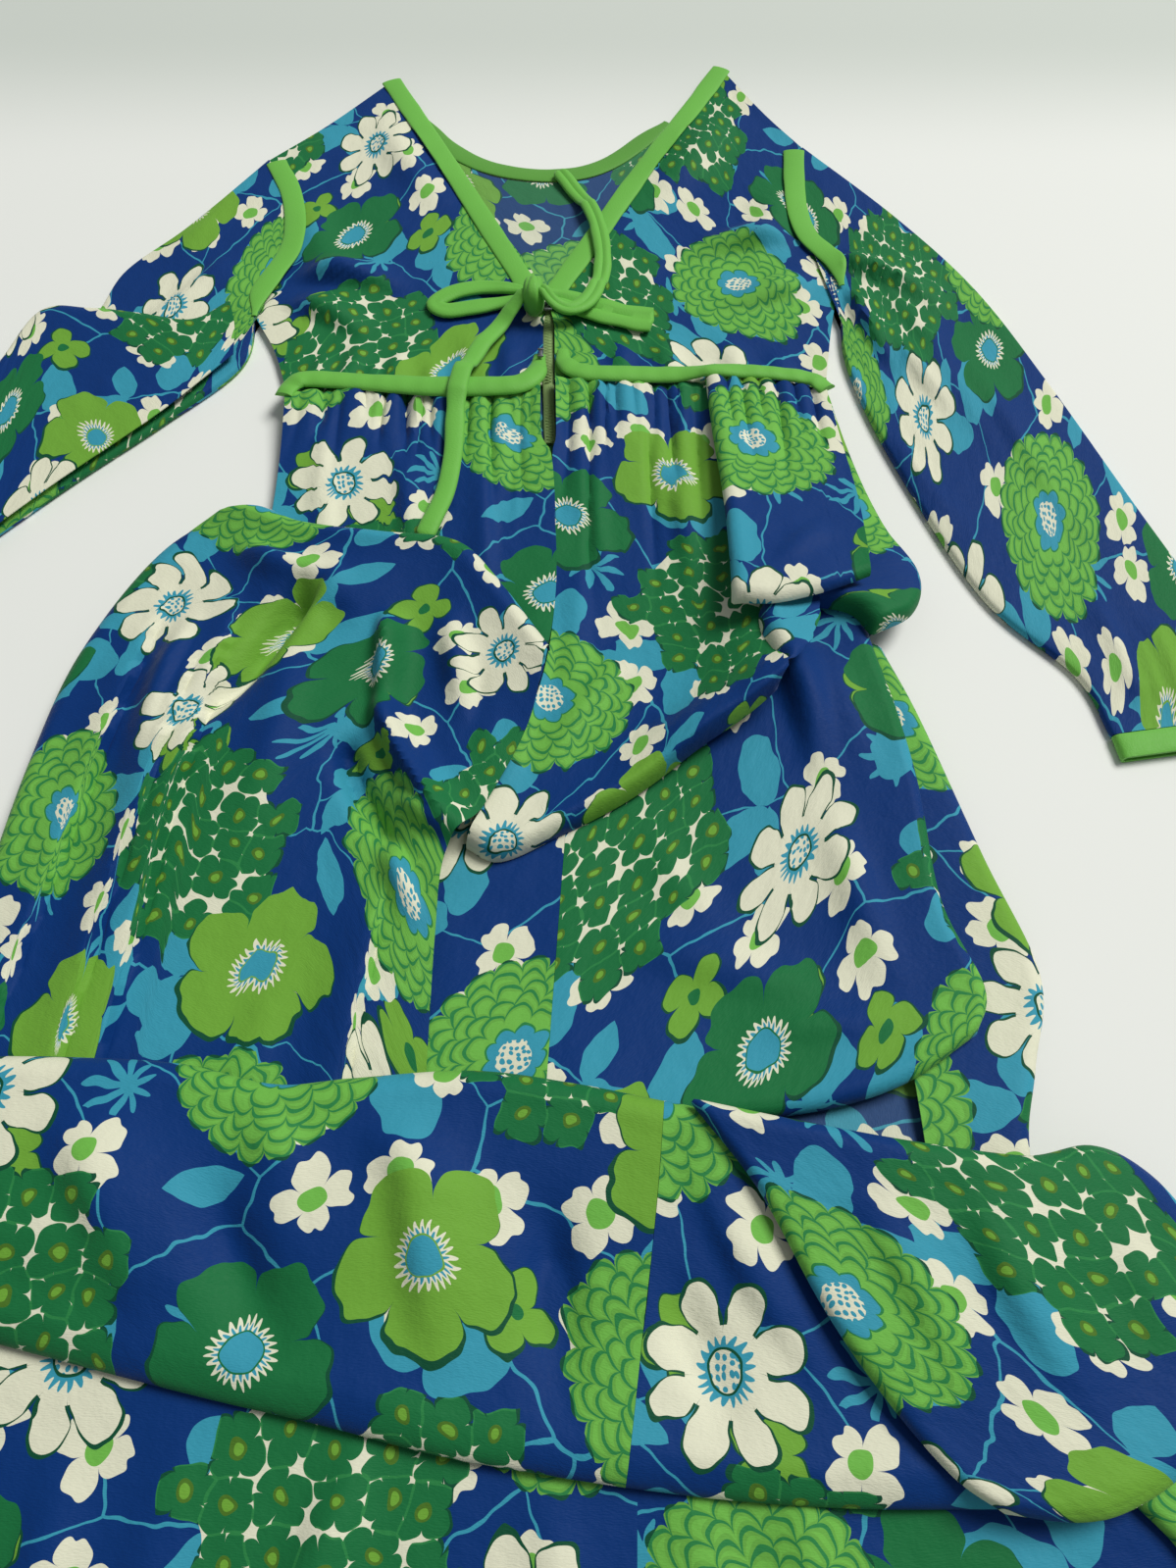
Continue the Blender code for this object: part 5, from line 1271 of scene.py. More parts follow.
class Graph:
    """A material under construction round its Principled shader."""

    def __init__(self, name, constants):
        self.material = bpy.data.materials.new(name)
        self.material.use_nodes = True
        self.tree = self.material.node_tree
        self.shader = self.tree.nodes["Principled BSDF"]
        for key, value in constants.items():
            self.shader.inputs[key].default_value = value

    def put(self, socket, value):
        if isinstance(value, Signal):
            self.tree.links.new(value.socket, socket)
        else:
            socket.default_value = value

    def node(self, kind, settings, values, output=0, form=Signal):
        made = self.tree.nodes.new(kind)
        for key, value in settings.items():
            setattr(made, key, value)
        for key, value in values.items():
            self.put(made.inputs[key], value)
        return form(self, made.outputs[output])

    def math(self, operation, *values):
        return self.node("ShaderNodeMath", {"operation": operation}, dict(enumerate(values)))

    def vector(self, operation, *values):
        settings = {"operation": operation}
        return self.node("ShaderNodeVectorMath", settings, dict(enumerate(values)), form=Arrow)

    def mixed_way(self, share, here, there):
        values = {0: share, 4: here, 5: there}
        return self.node("ShaderNodeMix", {"data_type": "VECTOR"}, values, output=1, form=Arrow)

    def mixed(self, share, below, above):
        values = {0: share}
        for slot, colour in ((6, below), (7, above)):
            values[slot] = colour if isinstance(colour, Signal) else (*colour, 1.0)
        return self.node("ShaderNodeMix", {"data_type": "RGBA"}, values, output=2)

    def place(self, layer="Print"):
        """The cloth's own coordinates, in millimetres."""
        return self.node("ShaderNodeUVMap", {"uv_map": layer}, {}, form=Arrow).scaled(1 / MM)

    def noise(self, place, wave, detail=2.0, output=0):
        values = {"Vector": place, "Scale": 1 / wave, "Detail": detail}
        return self.node("ShaderNodeTexNoise", {"noise_dimensions": "2D"}, values, output=output)

    def cells(self, place, size, feature="F1", scatter=1.0, output="Distance", form=Signal):
        values = {"Vector": place, "Scale": 1 / size, "Randomness": scatter}
        settings = {"voronoi_dimensions": "2D", "feature": feature}
        return self.node("ShaderNodeTexVoronoi", settings, values, output=output, form=form)

    def bump(self, height, distance, strength):
        values = {"Height": height, "Distance": distance, "Strength": strength}
        return self.node("ShaderNodeBump", {}, values)

    def object_place(self):
        return self.node("ShaderNodeTexCoord", {}, {}, output="Object", form=Arrow)

    def solid_noise(self, scale, detail):
        values = {"Vector": self.object_place(), "Scale": scale, "Detail": detail}
        return self.node("ShaderNodeTexNoise", {}, values)

    def finished(self, colour, roughness, normal=None):
        """The material, with what varies over its surface linked to the shader."""
        for socket, value in (("Base Color", colour), ("Roughness", roughness), ("Normal", normal)):
            if value:
                self.put(self.shader.inputs[socket], value)
        return self.material


def nearest_motif(graph, place, motifs):
    """The way from the closest motif's middle, its distance and angle, and the motif's turn."""
    half = (REPEAT[0] / 2, REPEAT[1] / 2)
    best = reach = None
    for motif in motifs:
        way = (place - (motif.x, motif.y, -motif.turn * TURN_MARK)).wrapped(half)
        far = way.length()
        if best is None:
            best, reach = way, far
        else:
            best = graph.mixed_way(far < reach, best, way)
            reach = reach.least(far)
    x, y, mark = best.parts()
    turn = mark / TURN_MARK
    return best, reach, graph.math("ARCTAN2", y, x) - turn, turn


Found = namedtuple("Found", "middle way radius angle chance")


def scattered_motif(graph, place, scatter):
    """The closest place of a scatter: its middle, the way, distance and angle from it, three chances."""
    shifted = graph.vector("ADD", place, scatter.shift)
    middle = graph.cells(shifted, scatter.spacing, scatter=scatter.jitter, output="Position", form=Arrow)
    chance = Arrow(graph, middle.socket.node.outputs["Color"]).parts()
    way = shifted - middle
    x, y, _ = way.parts()
    return Found(middle, way, way.length(), graph.math("ARCTAN2", y, x) + chance[0] * DARK, chance)


def lobed(angle, petals):
    """The edge of a flower with round petals."""
    lobe = abs((angle * (petals.count / 2)).cosine()) ** petals.bluntness
    return lobe * (petals.tip - petals.notch) + petals.notch


def fringe(angle, teeth):
    """The edge of a fringed centre."""
    points, depth, middle = teeth
    return (angle * points).cosine() * depth + middle


class Print:
    """The floral print, painted flower by flower over the ground."""

    def __init__(self, graph, place, colours):
        self.graph, self.colours = graph, colours
        wobble = Arrow(graph, graph.noise(place, WOBBLE_WAVE, 1.0, output="Color").socket)
        reach = (WOBBLE_REACH, WOBBLE_REACH, 0.0)
        self.place = graph.vector("MULTIPLY_ADD", wobble, reach, place)
        self.spots = graph.cells(self.place, SPOT_SPACING, scatter=SPOT_SCATTER) > SPOT_SIZE
        self.colour = tuple(colours.ground)

    def tone(self, colour):
        return tuple(getattr(self.colours, colour)) if isinstance(colour, str) else colour

    def paint(self, mask, colour):
        self.colour = self.graph.mixed(mask, self.colour, self.tone(colour))

    def stems(self):
        bend = Arrow(self.graph, self.graph.noise(self.place, STEM_WAVE, 0.0, output="Color").socket)
        swayed = self.graph.vector("MULTIPLY_ADD", bend, (STEM_SWAY, STEM_SWAY, 0.0), self.place)
        edge = self.graph.cells(swayed, STEM_SPACING, "DISTANCE_TO_EDGE")
        self.paint(edge < STEM_WIDTH, "turquoise")

    def leaf_pairs(self):
        pair = scattered_motif(self.graph, self.place, LEAF_PAIRS)
        along, aside = pair.radius * pair.angle.cosine(), abs(pair.radius * pair.angle.sine())
        u = (along * math.cos(LEAF_SPREAD) + aside * math.sin(LEAF_SPREAD) - LEAF_MIDDLE) / LEAF_LONG
        v = (aside * math.cos(LEAF_SPREAD) - along * math.sin(LEAF_SPREAD)) / LEAF_WIDE
        self.paint(u * u + v * v < 1.0, "turquoise")

    def small_motifs(self):
        found = scattered_motif(self.graph, self.place, SMALL_MOTIFS)
        radius, angle, chance = found.radius, found.angle, found.chance[2]

        def chosen(share):
            return (chance > share[0]) * (chance < share[1]) if share[0] else chance < share[1]

        along, aside = radius * angle.cosine(), abs(radius * angle.sine())
        leaf = aside < (1 - along * along * LEAF_NARROWS) * (LEAF_HALF - LEAF_SHRINKS * along)
        points = abs((angle * (SPRIG_POINTS / 2)).cosine()) ** SPRIG_THIN * SPRIG_LONG
        sprig = points * (angle.cosine() * SPRIG_SIDE + 0.8) + SPRIG_CORE
        green = leaf * chosen(LEAF_SHARE) + (radius < sprig) * chosen(SPRIG_SHARE)
        self.paint(green > 0.5, "turquoise")
        olive = chosen(OLIVE_SHARE)
        edge = lobed(angle, OLIVE_PETALS)
        self.paint((radius < edge + OLIVE_RIM - found.way.parts()[1] * RIM_SHADOW) * olive, "outline")
        self.paint((radius < edge) * olive, "olive")
        self.paint((radius < OLIVE_CENTRE) * olive, "leaf")
        blossom = chosen(BLOSSOM_SHARE)
        wave = abs((angle * 2.0).cosine())
        petals = wave ** BLOSSOM_BLUNT * (BLOSSOM_LONG + BLOSSOM_UNEVEN * angle.cosine())
        edge = petals + BLOSSOM_CORE - wave ** 16.0 * BLOSSOM_NOTCH
        self.paint((radius < edge) * blossom, "cream")
        self.paint((radius < BLOSSOM_CENTRE) * blossom, "lime")

    def floret_balls(self):
        way, radius, _, _ = nearest_motif(self.graph, self.place, FLORET_BALLS)
        flat = self.graph.vector("MULTIPLY", way, (1.0, 1.0, 0.0))
        floret = scattered_motif(self.graph, flat, FLORETS)
        far = floret.radius
        border = self.graph.cells(flat, FLORETS.spacing, "DISTANCE_TO_EDGE", FLORETS.jitter)
        petal = lobed(floret.angle, FLORET_PETALS)
        belongs = floret.middle.length() < BALL_RADIUS - BALL_BORDER
        self.paint((far < petal + FLORET_RIM) * belongs, "outline")
        self.paint(radius < BALL_RADIUS - BALL_RIM, "cream")
        self.paint((far < petal) * belongs, "leaf")
        self.paint((border < 0.03) * (far < petal) * belongs, "line_green")
        self.paint((far < FLORET_CENTRE) * belongs, dimmed(self.tone("olive"), 0.45))
        self.paint((far < FLORET_DOT) * belongs, "olive")

    def broad_flowers(self):
        way, radius, angle, turn = nearest_motif(self.graph, self.place, BROAD_FLOWERS)
        edge = lobed(angle, BROAD_PETALS) + (angle * 13.0).sine() * 0.8
        dark = turn > DARK - 0.01
        self.paint(radius < edge + BROAD_RIM - way.parts()[1] * RIM_SHADOW, "outline")
        self.paint(radius < edge, self.graph.mixed(dark, self.tone("olive"), self.tone("leaf")))
        edge = fringe(angle, BROAD_TEETH)
        self.paint((radius < edge) * (radius > BROAD_FRINGE), "cream")
        self.paint((radius < edge - BROAD_TEETH_RIM) * (radius > BROAD_FRINGE), "turquoise")
        self.paint(radius < BROAD_CENTRE, "turquoise")

    def petalled_flowers(self):
        _, radius, angle, _ = nearest_motif(self.graph, self.place, PETALLED_FLOWERS)
        edge = lobed(angle, CREAM_PETALS)
        self.paint(radius < edge + CREAM_RIM, "outline")
        self.paint(radius < edge, "cream")
        spoke = abs((angle * (CREAM_PETALS.count / 2)).cosine())
        self.paint((spoke < SPOKE_WIDTH) * (radius < edge) * (radius > SPOKE_START), "outline")
        self.paint(radius < fringe(angle, CREAM_TEETH), "turquoise")
        self.paint(radius < CREAM_CENTRE, "outline")
        self.speckle(radius < CREAM_SPECKLE)

    def speckle(self, mask):
        self.paint(mask, "turquoise")
        self.paint(self.spots * mask, "cream")

    def scaled_flowers(self):
        _, radius, angle, _ = nearest_motif(self.graph, self.place, SCALED_FLOWERS)
        closest = None
        for ring in SCALE_RINGS:
            scales = Petals(ring.scales, ring.radius + ring.depth, ring.radius, SCALE_BLUNTNESS)
            edge = lobed(angle + ring.turn, scales)
            gap = abs(radius - edge)
            if ring is SCALE_RINGS[0]:
                self.paint(radius < edge + SCALED_RIM, "outline")
                self.paint(radius < edge, "lime")
            closest = gap if closest is None else closest.least(gap)
        inside = radius < SCALE_RINGS[0].radius + SCALE_RINGS[0].depth
        self.paint((closest < SCALE_TINT) * inside, dimmed(self.tone("lime"), 0.84))
        self.paint((closest < SCALE_LINE) * inside, "line_green")
        centre = lobed(angle, CENTRE_PETALS)
        self.paint(radius < centre + CENTRE_RIM, "line_green")
        self.paint(radius < centre, "turquoise")
        self.speckle(radius < SCALED_SPECKLE)

    def all(self):
        self.stems()
        self.leaf_pairs()
        self.small_motifs()
        self.floret_balls()
        self.broad_flowers()
        self.petalled_flowers()
        self.scaled_flowers()
        return self.colour


def print_material(name, strength):
    """Printed crepe. Strength below 1 mutes the colours, as on the wrong side of the cloth."""
    colours = bpy.context.scene.dress_print
    graph = Graph(name, {"Sheen Weight": 0.06, "Sheen Roughness": 0.4, "Specular IOR Level": 0.15})
    place = graph.place()
    colour = Print(graph, place, colours).all()
    if strength < 1:
        colour = graph.mixed(1 - strength, colour, tuple(colours.inside))
    rows = graph.vector("MULTIPLY", place, (0.5, 1.9, 1.0))
    weave, crumple = graph.noise(rows, 1.3, 2.0) * 0.35, graph.noise(place, 17.0, 3.0) * 1.6
    roughness = graph.noise(place, 2.4, 3.0) * 0.16 + 0.55
    return graph.finished(colour, roughness, graph.bump(weave + crumple, MM, 0.6))


def plain_cloth(name, colour, grain=1.2):
    """A plain knitted cloth in one colour, a little uneven."""
    graph = Graph(name, {"Sheen Weight": 0.12, "Sheen Roughness": 0.5, "Specular IOR Level": 0.25})
    place = graph.place()
    base = graph.mixed(graph.noise(place, 38.0, 3.0) * 0.7, tuple(colour), dimmed(colour, 0.8))
    knit = graph.bump(graph.noise(place, grain, 3.0), 0.3 * MM, 0.55)
    return graph.finished(base, graph.noise(place, 3.0) * 0.16 + 0.5, knit)


def metal_material(name):
    """Dull grey metal of the hook and the slider."""
    graph = Graph(name, {"Metallic": 1.0})
    wear = graph.solid_noise(400.0, 4.0)
    return graph.finished(graph.mixed(wear, srgb(150, 152, 156), srgb(104, 106, 112)), wear * 0.3 + 0.28)


def floor_material(name, colour):
    """Smooth pale surface, with painted shade that dims it beyond the dress."""
    graph = Graph(name, {"Specular IOR Level": 0.2})
    _, y, _ = graph.object_place().parts()
    stretch = {0: y, 1: FAR_FLOOR_START, 2: FAR_FLOOR_END}
    dim = graph.node("ShaderNodeMapRange", {"interpolation_type": "SMOOTHSTEP"}, stretch)
    # Painted shade: the floor colour dimmed beyond the dress, standing in for the light falling off there.
    shade = tuple(part * keep for part, keep in zip(colour, FAR_FLOOR_PAINTED_SHADE))
    return graph.finished(graph.mixed(dim, tuple(colour), shade), graph.solid_noise(1.6, 2.0) * 0.1 + 0.6)


def material(name):
    """The named material, made when it is first asked for."""
    trim = bpy.context.scene.dress_trim
    makers = {
        "floral_outside": (print_material, 1.0),
        "floral_inside": (print_material, 0.88),
        "lime_cloth": (plain_cloth, trim.colour),
        "lime_inside": (plain_cloth, dimmed(trim.colour, 0.72)),
        "zip_cloth": (plain_cloth, trim.zip_colour, 0.8),
        "dull_metal": (metal_material,),
    }
    maker, *settings = makers[name]
    return bpy.data.materials.get(name) or maker(name, *settings)


def lay_hidden_layers():
    """The skirt's hidden layers: one rounded body, flat beneath, with the layers' edges round its rim."""
    panel = SKIRT_UNDER
    xy = coons(panel, np.linspace(0, 1, UNDER_CELLS + 1), np.linspace(0, 1, UNDER_ROWS + 1))
    rows_down = UNDER_HEIGHTS[::-1]
    rim = 2 * RIM_LAYER
    _, bottom, left, right = (np.linalg.norm(xy - edge, axis=2) for edge in edges_of(xy))
    inner = np.clip(np.minimum(np.minimum(left, right), bottom) / UNDER_SIDE_REACH, 0, 1)
    full = np.interp(xy[..., 1], [row.y for row in rows_down], [row.height for row in rows_down])
    height = rim + np.maximum(full - rim, 0) * np.sqrt(1 - (1 - inner) ** 2)
    upper = np.dstack([xy, height])
    maker = shaped_grid(upper)
    number = maker.verts.layers.int["station"]
    outward = np.zeros_like(xy)
    outward[:, 0] = xy[:, 0] - xy[:, 1]
    outward[:, -1] = xy[:, -1] - xy[:, -2]
    outward[0] += xy[0] - xy[1]
    outward[-1] += xy[-1] - xy[-2]
    outward /= np.maximum(np.linalg.norm(outward, axis=2, keepdims=True), 1e-6)
    sway = ripples(xy, RIM_WAVE, RIM_SEED) * RIM_SWAY
    edges = [edge for edge in maker.edges if edge.is_boundary]
    for share in np.linspace(0, 1, RIM_STEPS + 1)[1:]:
        bulge = RIM_BULGE * math.sin(RIM_LAYERS * 2 * math.pi * share)
        ring = bmesh.ops.extrude_edge_only(maker, edges=edges)["geom"]
        for vert in (item for item in ring if isinstance(item, bmesh.types.BMVert)):
            at = divmod(vert[number], xy.shape[1])
            out = bulge + sway[at] * math.sin(math.pi * share)
            vert.co = (*(xy[at] + outward[at] * out), rim * (1 - share))
        edges = [item for item in ring if isinstance(item, bmesh.types.BMEdge) and item.is_boundary]
    bmesh.ops.edgeloop_fill(maker, edges=edges)
    write_places(maker, print_places(upper, panel.print_lay))
    piece = finish_piece("skirt_under_cloth", maker, "floral_inside", panel.name)
    PILE.cover(upper)
    declare_sheet(piece, upper)


def lay_back():
    """The bodice's back with its wrong side up, and the binding of its neck edge."""
    width = bpy.context.scene.dress_trim.binding_width
    lay_panels((BODICE_BACK,), paint="floral_inside")
    binding = lay_strip(
        "neck_binding_back", NECK_BINDING_BACK, width, BACK_BINDING_CROWN, "lime_inside", 5,
        BACK_MAKE,
    )
    width * MM


def lay_sleeve(sleeve):
    """One sleeve as a flattened tube with its folds."""
    cloth = bpy.context.scene.dress_cloth
    width = np.linalg.norm(np.subtract(sleeve.top[0], sleeve.top[-1]))
    across, down = across_tube(SLEEVE_CELLS, width), np.linspace(0, 1, SLEEVE_ROWS + 1)
    xy = coons(sleeve, across, down)
    seed = sum(map(ord, sleeve.name))
    uneven = np.maximum(ripples(xy, SLEEVE_LONG_RIPPLE, seed), -SLEEVE_SINK) + SLEEVE_SINK
    uneven += 0.4 * ripples(xy, SLEEVE_SHORT_RIPPLE, seed + 1)
    raised = fold_heights(xy, sleeve.folds) + cloth.ripple * uneven
    wall, print_lay = cloth.thickness, sleeve.print_lay
    lay_tube(sleeve.name, xy, TUBE_HEIGHT, wall, raised, "floral_outside", print_lay)


def lay_cuff(name, sleeve):
    """A cuff binding: a short tube with a rounded edge beyond the sleeve's end."""
    first, last = (np.array(end, float) for end in sleeve.bottom)
    along = last - first
    side = along / np.linalg.norm(along)
    out = np.array((-side[1], side[0]))
    out = out if out[1] < 0 else -out
    steps = np.linspace(0, 1, CUFF_ROWS + 1)
    shares = across_tube(CUFF_CELLS, np.linalg.norm(along))
    xy = np.array([[first + along * s + out * r for s in shares] for r in CUFF_SEAM + CUFF_DEPTH * steps])
    arch = np.sin(np.pi * steps)[:, None] ** 0.5
    raised = CUFF_CROWN * arch * (1 + 0.3 * ripples(xy, 9.0, len(name)))
    lay_tube(name, xy, CUFF_HEIGHT, CUFF_WALL, raised, "lime_cloth")


def lay_zip():
    """The exposed zip: its tape, and the coil's teeth as rows of small bars."""
    pitch, cloth = bpy.context.scene.dress_trim.coil_pitch, bpy.context.scene.dress_cloth
    tape = lay_strip("zip_tape", ZIP_LINE, ZIP_WIDTH, ZIP_CROWN, "zip_cloth", 3, covers=False)
    maker = bmesh.new()
    line = smooth_curve(ZIP_LINE, round(ZIP_RUN / pitch))
    low = PILE.just_under(line[None])[0] + GAP + cloth.thickness + ZIP_CROWN
    for k, (x, y) in enumerate(line):
        shift = TOOTH_SHIFT if k % 2 else -TOOTH_SHIFT
        tooth = bmesh.ops.create_uvsphere(maker, u_segments=8, v_segments=6, radius=1.0)["verts"]
        bmesh.ops.scale(maker, vec=TOOTH_SIZE, verts=tooth)
        bmesh.ops.translate(maker, vec=(x + shift, y, low[k]), verts=tooth)
    return tape, finish_piece("zip_coil_teeth", maker, "zip_cloth")


def lay_binding(name, path, width, crown, seed, make=Make()):
    """A lime binding or band over a seam of the left or right front."""
    piece = lay_strip(name, path, width, crown, "lime_cloth", seed, make)
    front = "bodice_front_" + name.split("_")[-1] + "_cloth"
    width * MM
    curve_length(path) * MM


def lay_tie(name, route, width, groove, pinch, blunt=(6.0, 6.0)):
    """One tail or loop of the bow, a turned tube along a route, its middle line and its length.

    A groove runs along its top. It is pinched narrower towards its start and its end, and it is
    rounded off over the blunt distance there.
    """
    cloth_name = name + "_cloth"
    height = bpy.context.scene.dress_trim.tie_thickness
    length = curve_length(route, 65)
    cells = round(length / TIE_CELL)
    line = smooth_curve(route, cells + 1)
    strip = strip_grid(route, width, cells, np.linspace(0, 1, 5))
    low = PILE.highest_near(strip, np.full(strip.shape[:2], TIE_LOOK)).max(axis=1, keepdims=True)
    low = relaxed(low, low, TIE_STEPS)[:, 0] + GAP
    far = np.linspace(0, length, cells + 1)
    full = np.ones(cells + 1)
    way = np.stack([far, 0 * far], axis=1)[None]
    uneven = 1 + TIE_UNEVEN * ripples(way, TIE_WAVE, len(cloth_name))[0]
    for end, tight, round_off in zip((far, length - far), pinch, blunt):
        full *= np.sqrt(np.maximum(1 - (1 - np.clip(end / round_off, 0, 1)) ** 2, 0.0))
        uneven *= 1 - tight * np.exp(-((end / PINCH_REACH) ** 2))
    angles = np.linspace(0, 2 * math.pi, TIE_SIDES + 1)[:-1]
    around = np.stack([np.cos(angles), np.sin(angles)], axis=1)
    around = np.sign(around) * np.abs(around) ** TIE_SQUARENESS
    around[:, 1] *= 1 - groove * np.exp(-((around[:, 0] / GROOVE_WIDTH) ** 2)) * (around[:, 1] > 0)
    wide, tall = (full * uneven * width / 2)[:, None], (full * height / 2)[:, None]
    middle = low + height / 2
    aside = line[:, None] + sides_of(line)[:, None] * (wide * around[None, :, 0])[..., None]
    rings = np.dstack([aside, middle[:, None] + tall * around[None, :, 1]])
    rings = np.concatenate([rings, rings[:, :1]], axis=1)
    maker = shaped_grid(rings)
    turn = np.linspace(0, width * TIE_ROUND, rings.shape[1])
    write_places(maker, np.dstack(np.broadcast_arrays(turn[None], far[:, None])) * MM)
    bmesh.ops.remove_doubles(maker, verts=maker.verts, dist=0.01)
    PILE.cover(np.dstack([strip, np.repeat((low + height)[:, None], 5, 1)]))
    piece = finish_piece(cloth_name, maker, "lime_cloth", name)
    return piece, np.column_stack([line, middle]) * MM, length * MM


def lay_bow():
    """The bow: two loops, the two tails as cords from the knot to their bare tips, and the knot."""
    trim = bpy.context.scene.dress_trim
    low = PILE.top_near(KNOT_PLACE, 2.0)
    both_strands = DOUBLED * trim.loop_width
    left, _, _ = lay_tie("bow_loop_left", BOW_LOOP_LEFT, trim.loop_width, 0.2, (0.45, 0.45))
    right, _, _ = lay_tie("bow_loop_right", BOW_LOOP_RIGHT, both_strands, 0.75, (0.5, 0.0), (6.0, 1.6))
    down = lay_tie("tie_tail_down", TIE_TAIL_DOWN, trim.tie_width, 0.0, (0.3, 0.0))
    up = lay_tie("tie_tail_up", TIE_TAIL_UP, trim.tie_width, 0.5, (0.3, 0.0))
    knot = tie_knot(low, PILE.top_near(KNOT_PLACE, 3.0))


def tie_knot(low, top):
    """The bow's knot, a padded wrap with two grooves round all that lies between the two heights."""
    maker = bmesh.new()
    bmesh.ops.create_uvsphere(maker, u_segments=40, v_segments=24, radius=1.0)
    wide, long, wall = KNOT_SIZE
    high = top + wall - low
    for vert in maker.verts:
        x, y, z = (math.copysign(abs(part) ** KNOT_SQUARENESS, part) for part in vert.co)
        groove = 1.0
        for depth, slant, middle in KNOT_GROOVES:
            groove -= depth * math.exp(-((x + slant * y - middle) / KNOT_GROOVE_WIDTH) ** 2)
        vert.co = (x * wide / 2, y * long / 2 * groove, max(z * groove, -0.9) * high / 2)
    bmesh.ops.translate(maker, vec=(*KNOT_PLACE, low + high / 2), verts=maker.verts)
    layer = maker.loops.layers.uv.new("Print")
    for face in maker.faces:
        for loop in face.loops:
            loop[layer].uv = (loop.vert.co.x * MM, loop.vert.co.y * MM)
    return finish_piece("bow_knot_cloth", maker, "lime_cloth", "bow_knot")


def fit_metal(solid, place, reach, bars):
    """A metal fitting of rounded bars, on the highest that lies near its place."""
    maker = bmesh.new()
    low = PILE.top_near(place, reach) + GAP
    for bar in bars:
        block = bmesh.ops.create_cube(maker, size=1.0)["verts"]
        bmesh.ops.scale(maker, vec=bar.size, verts=block)
        edges = list({edge for vert in block for edge in vert.link_edges})
        made = bmesh.ops.bevel(
            maker, geom=edges, offset=bar.bevel, segments=3, affect="EDGES", profile=0.5, material=-1
        )
        block = list({vert for face in made["faces"] for vert in face.verts})
        centre = (place[0] + bar.aside, place[1] + bar.along, low + bar.above)
        bmesh.ops.translate(maker, vec=centre, verts=block)
    finish_piece(solid + "_metal", maker, "dull_metal", solid)


class DRESS_OT_hidden_layers(bpy.types.Operator):
    """Lay the skirt's hidden layers as one rounded body"""

    bl_idname = "dress.hidden_layers"
    bl_label = "Hidden layers"

    def execute(self, context):
        lay_hidden_layers()
        return {"FINISHED"}


class DRESS_OT_bodice(bpy.types.Operator):
    """Lay the bodice's back, the zip and the two fronts"""

    bl_idname = "dress.bodice"
    bl_label = "Bodice and zip"

    def execute(self, context):
        lay_back()
        zip_pieces = lay_zip()
        lay_panels((BODICE_FRONT_LEFT,))
        lay_panels((BODICE_FRONT_RIGHT,))
        return {"FINISHED"}


class DRESS_OT_skirt_top(bpy.types.Operator):
    """Lay the skirt's panels that lie lowest"""

    bl_idname = "dress.skirt_top"
    bl_label = "Skirt, lower panels"

    def execute(self, context):
        lay_panels((SKIRT_EDGE_RIGHT,))
        lay_panels((SKIRT_MIDDLE_LEFT, SKIRT_MIDDLE_RIGHT))
        return {"FINISHED"}


class DRESS_OT_sleeves(bpy.types.Operator):
    """Lay both sleeves with their cuffs, and the turned-over layer of the left one"""

    bl_idname = "dress.sleeves"
    bl_label = "Sleeves and cuffs"

    def execute(self, context):
        for sleeve in (SLEEVE_LEFT, SLEEVE_RIGHT):
            lay_sleeve(sleeve)
            lay_cuff(sleeve.name.replace("sleeve", "cuff_binding"), sleeve)
        lay_panels((SLEEVE_LEFT_FOLD,))
        return {"FINISHED"}


class DRESS_OT_skirt_front(bpy.types.Operator):
    """Lay the skirt's gathered front and its pleats"""

    bl_idname = "dress.skirt_front"
    bl_label = "Skirt, front and pleats"

    def execute(self, context):
        lay_panels((SKIRT_FRONT_LEFT, SKIRT_FRONT_RIGHT))
        lay_panels((SKIRT_PLEAT_RIGHT,))
        return {"FINISHED"}


class DRESS_OT_bindings(bpy.types.Operator):
    """Lay the bindings of the neck and the armholes, and the padded waist bands"""

    bl_idname = "dress.bindings"
    bl_label = "Bindings and bands"

    def execute(self, context):
        trim = context.scene.dress_trim
        flat, padded = (trim.binding_width, trim.binding_crown), (trim.band_width, trim.band_crown)
        lay_binding("neck_binding_left", NECK_BINDING_LEFT, *flat, 21)
        lay_binding("neck_binding_right", NECK_BINDING_RIGHT, *flat, 22)
        lay_binding("armhole_binding_left", ARMHOLE_BINDING_LEFT, *flat, 23, ARMHOLE_MAKE)
        lay_binding("armhole_binding_right", ARMHOLE_BINDING_RIGHT, *flat, 24, ARMHOLE_MAKE)
        lay_binding("waist_band_left", WAIST_BAND_LEFT, *padded, 25, BAND_MAKE_LEFT)
        lay_binding("waist_band_right", WAIST_BAND_RIGHT, *padded, 26, BAND_MAKE_RIGHT)
        return {"FINISHED"}


class DRESS_OT_metal(bpy.types.Operator):
    """Fit the hook at the band and the zip's slider"""

    bl_idname = "dress.metal"
    bl_label = "Hook and slider"

    def execute(self, context):
        fit_metal("waist_hook", HOOK_PLACE, 4.0, HOOK_BARS)
        fit_metal("zip_slider", SLIDER_PLACE, 5.0, SLIDER_BARS)
        return {"FINISHED"}


class DRESS_OT_bow(bpy.types.Operator):
    """Tie the bow from its tails, loops and knot"""

    bl_idname = "dress.bow"
    bl_label = "Bow"

    def execute(self, context):
        lay_bow()
        return {"FINISHED"}


class DRESS_OT_skirt_heap(bpy.types.Operator):
    """Lay the heaped side of the skirt"""

    bl_idname = "dress.skirt_heap"
    bl_label = "Skirt, heap"

    def execute(self, context):
        lay_panels((SKIRT_FOLD_LEFT,))
        return {"FINISHED"}


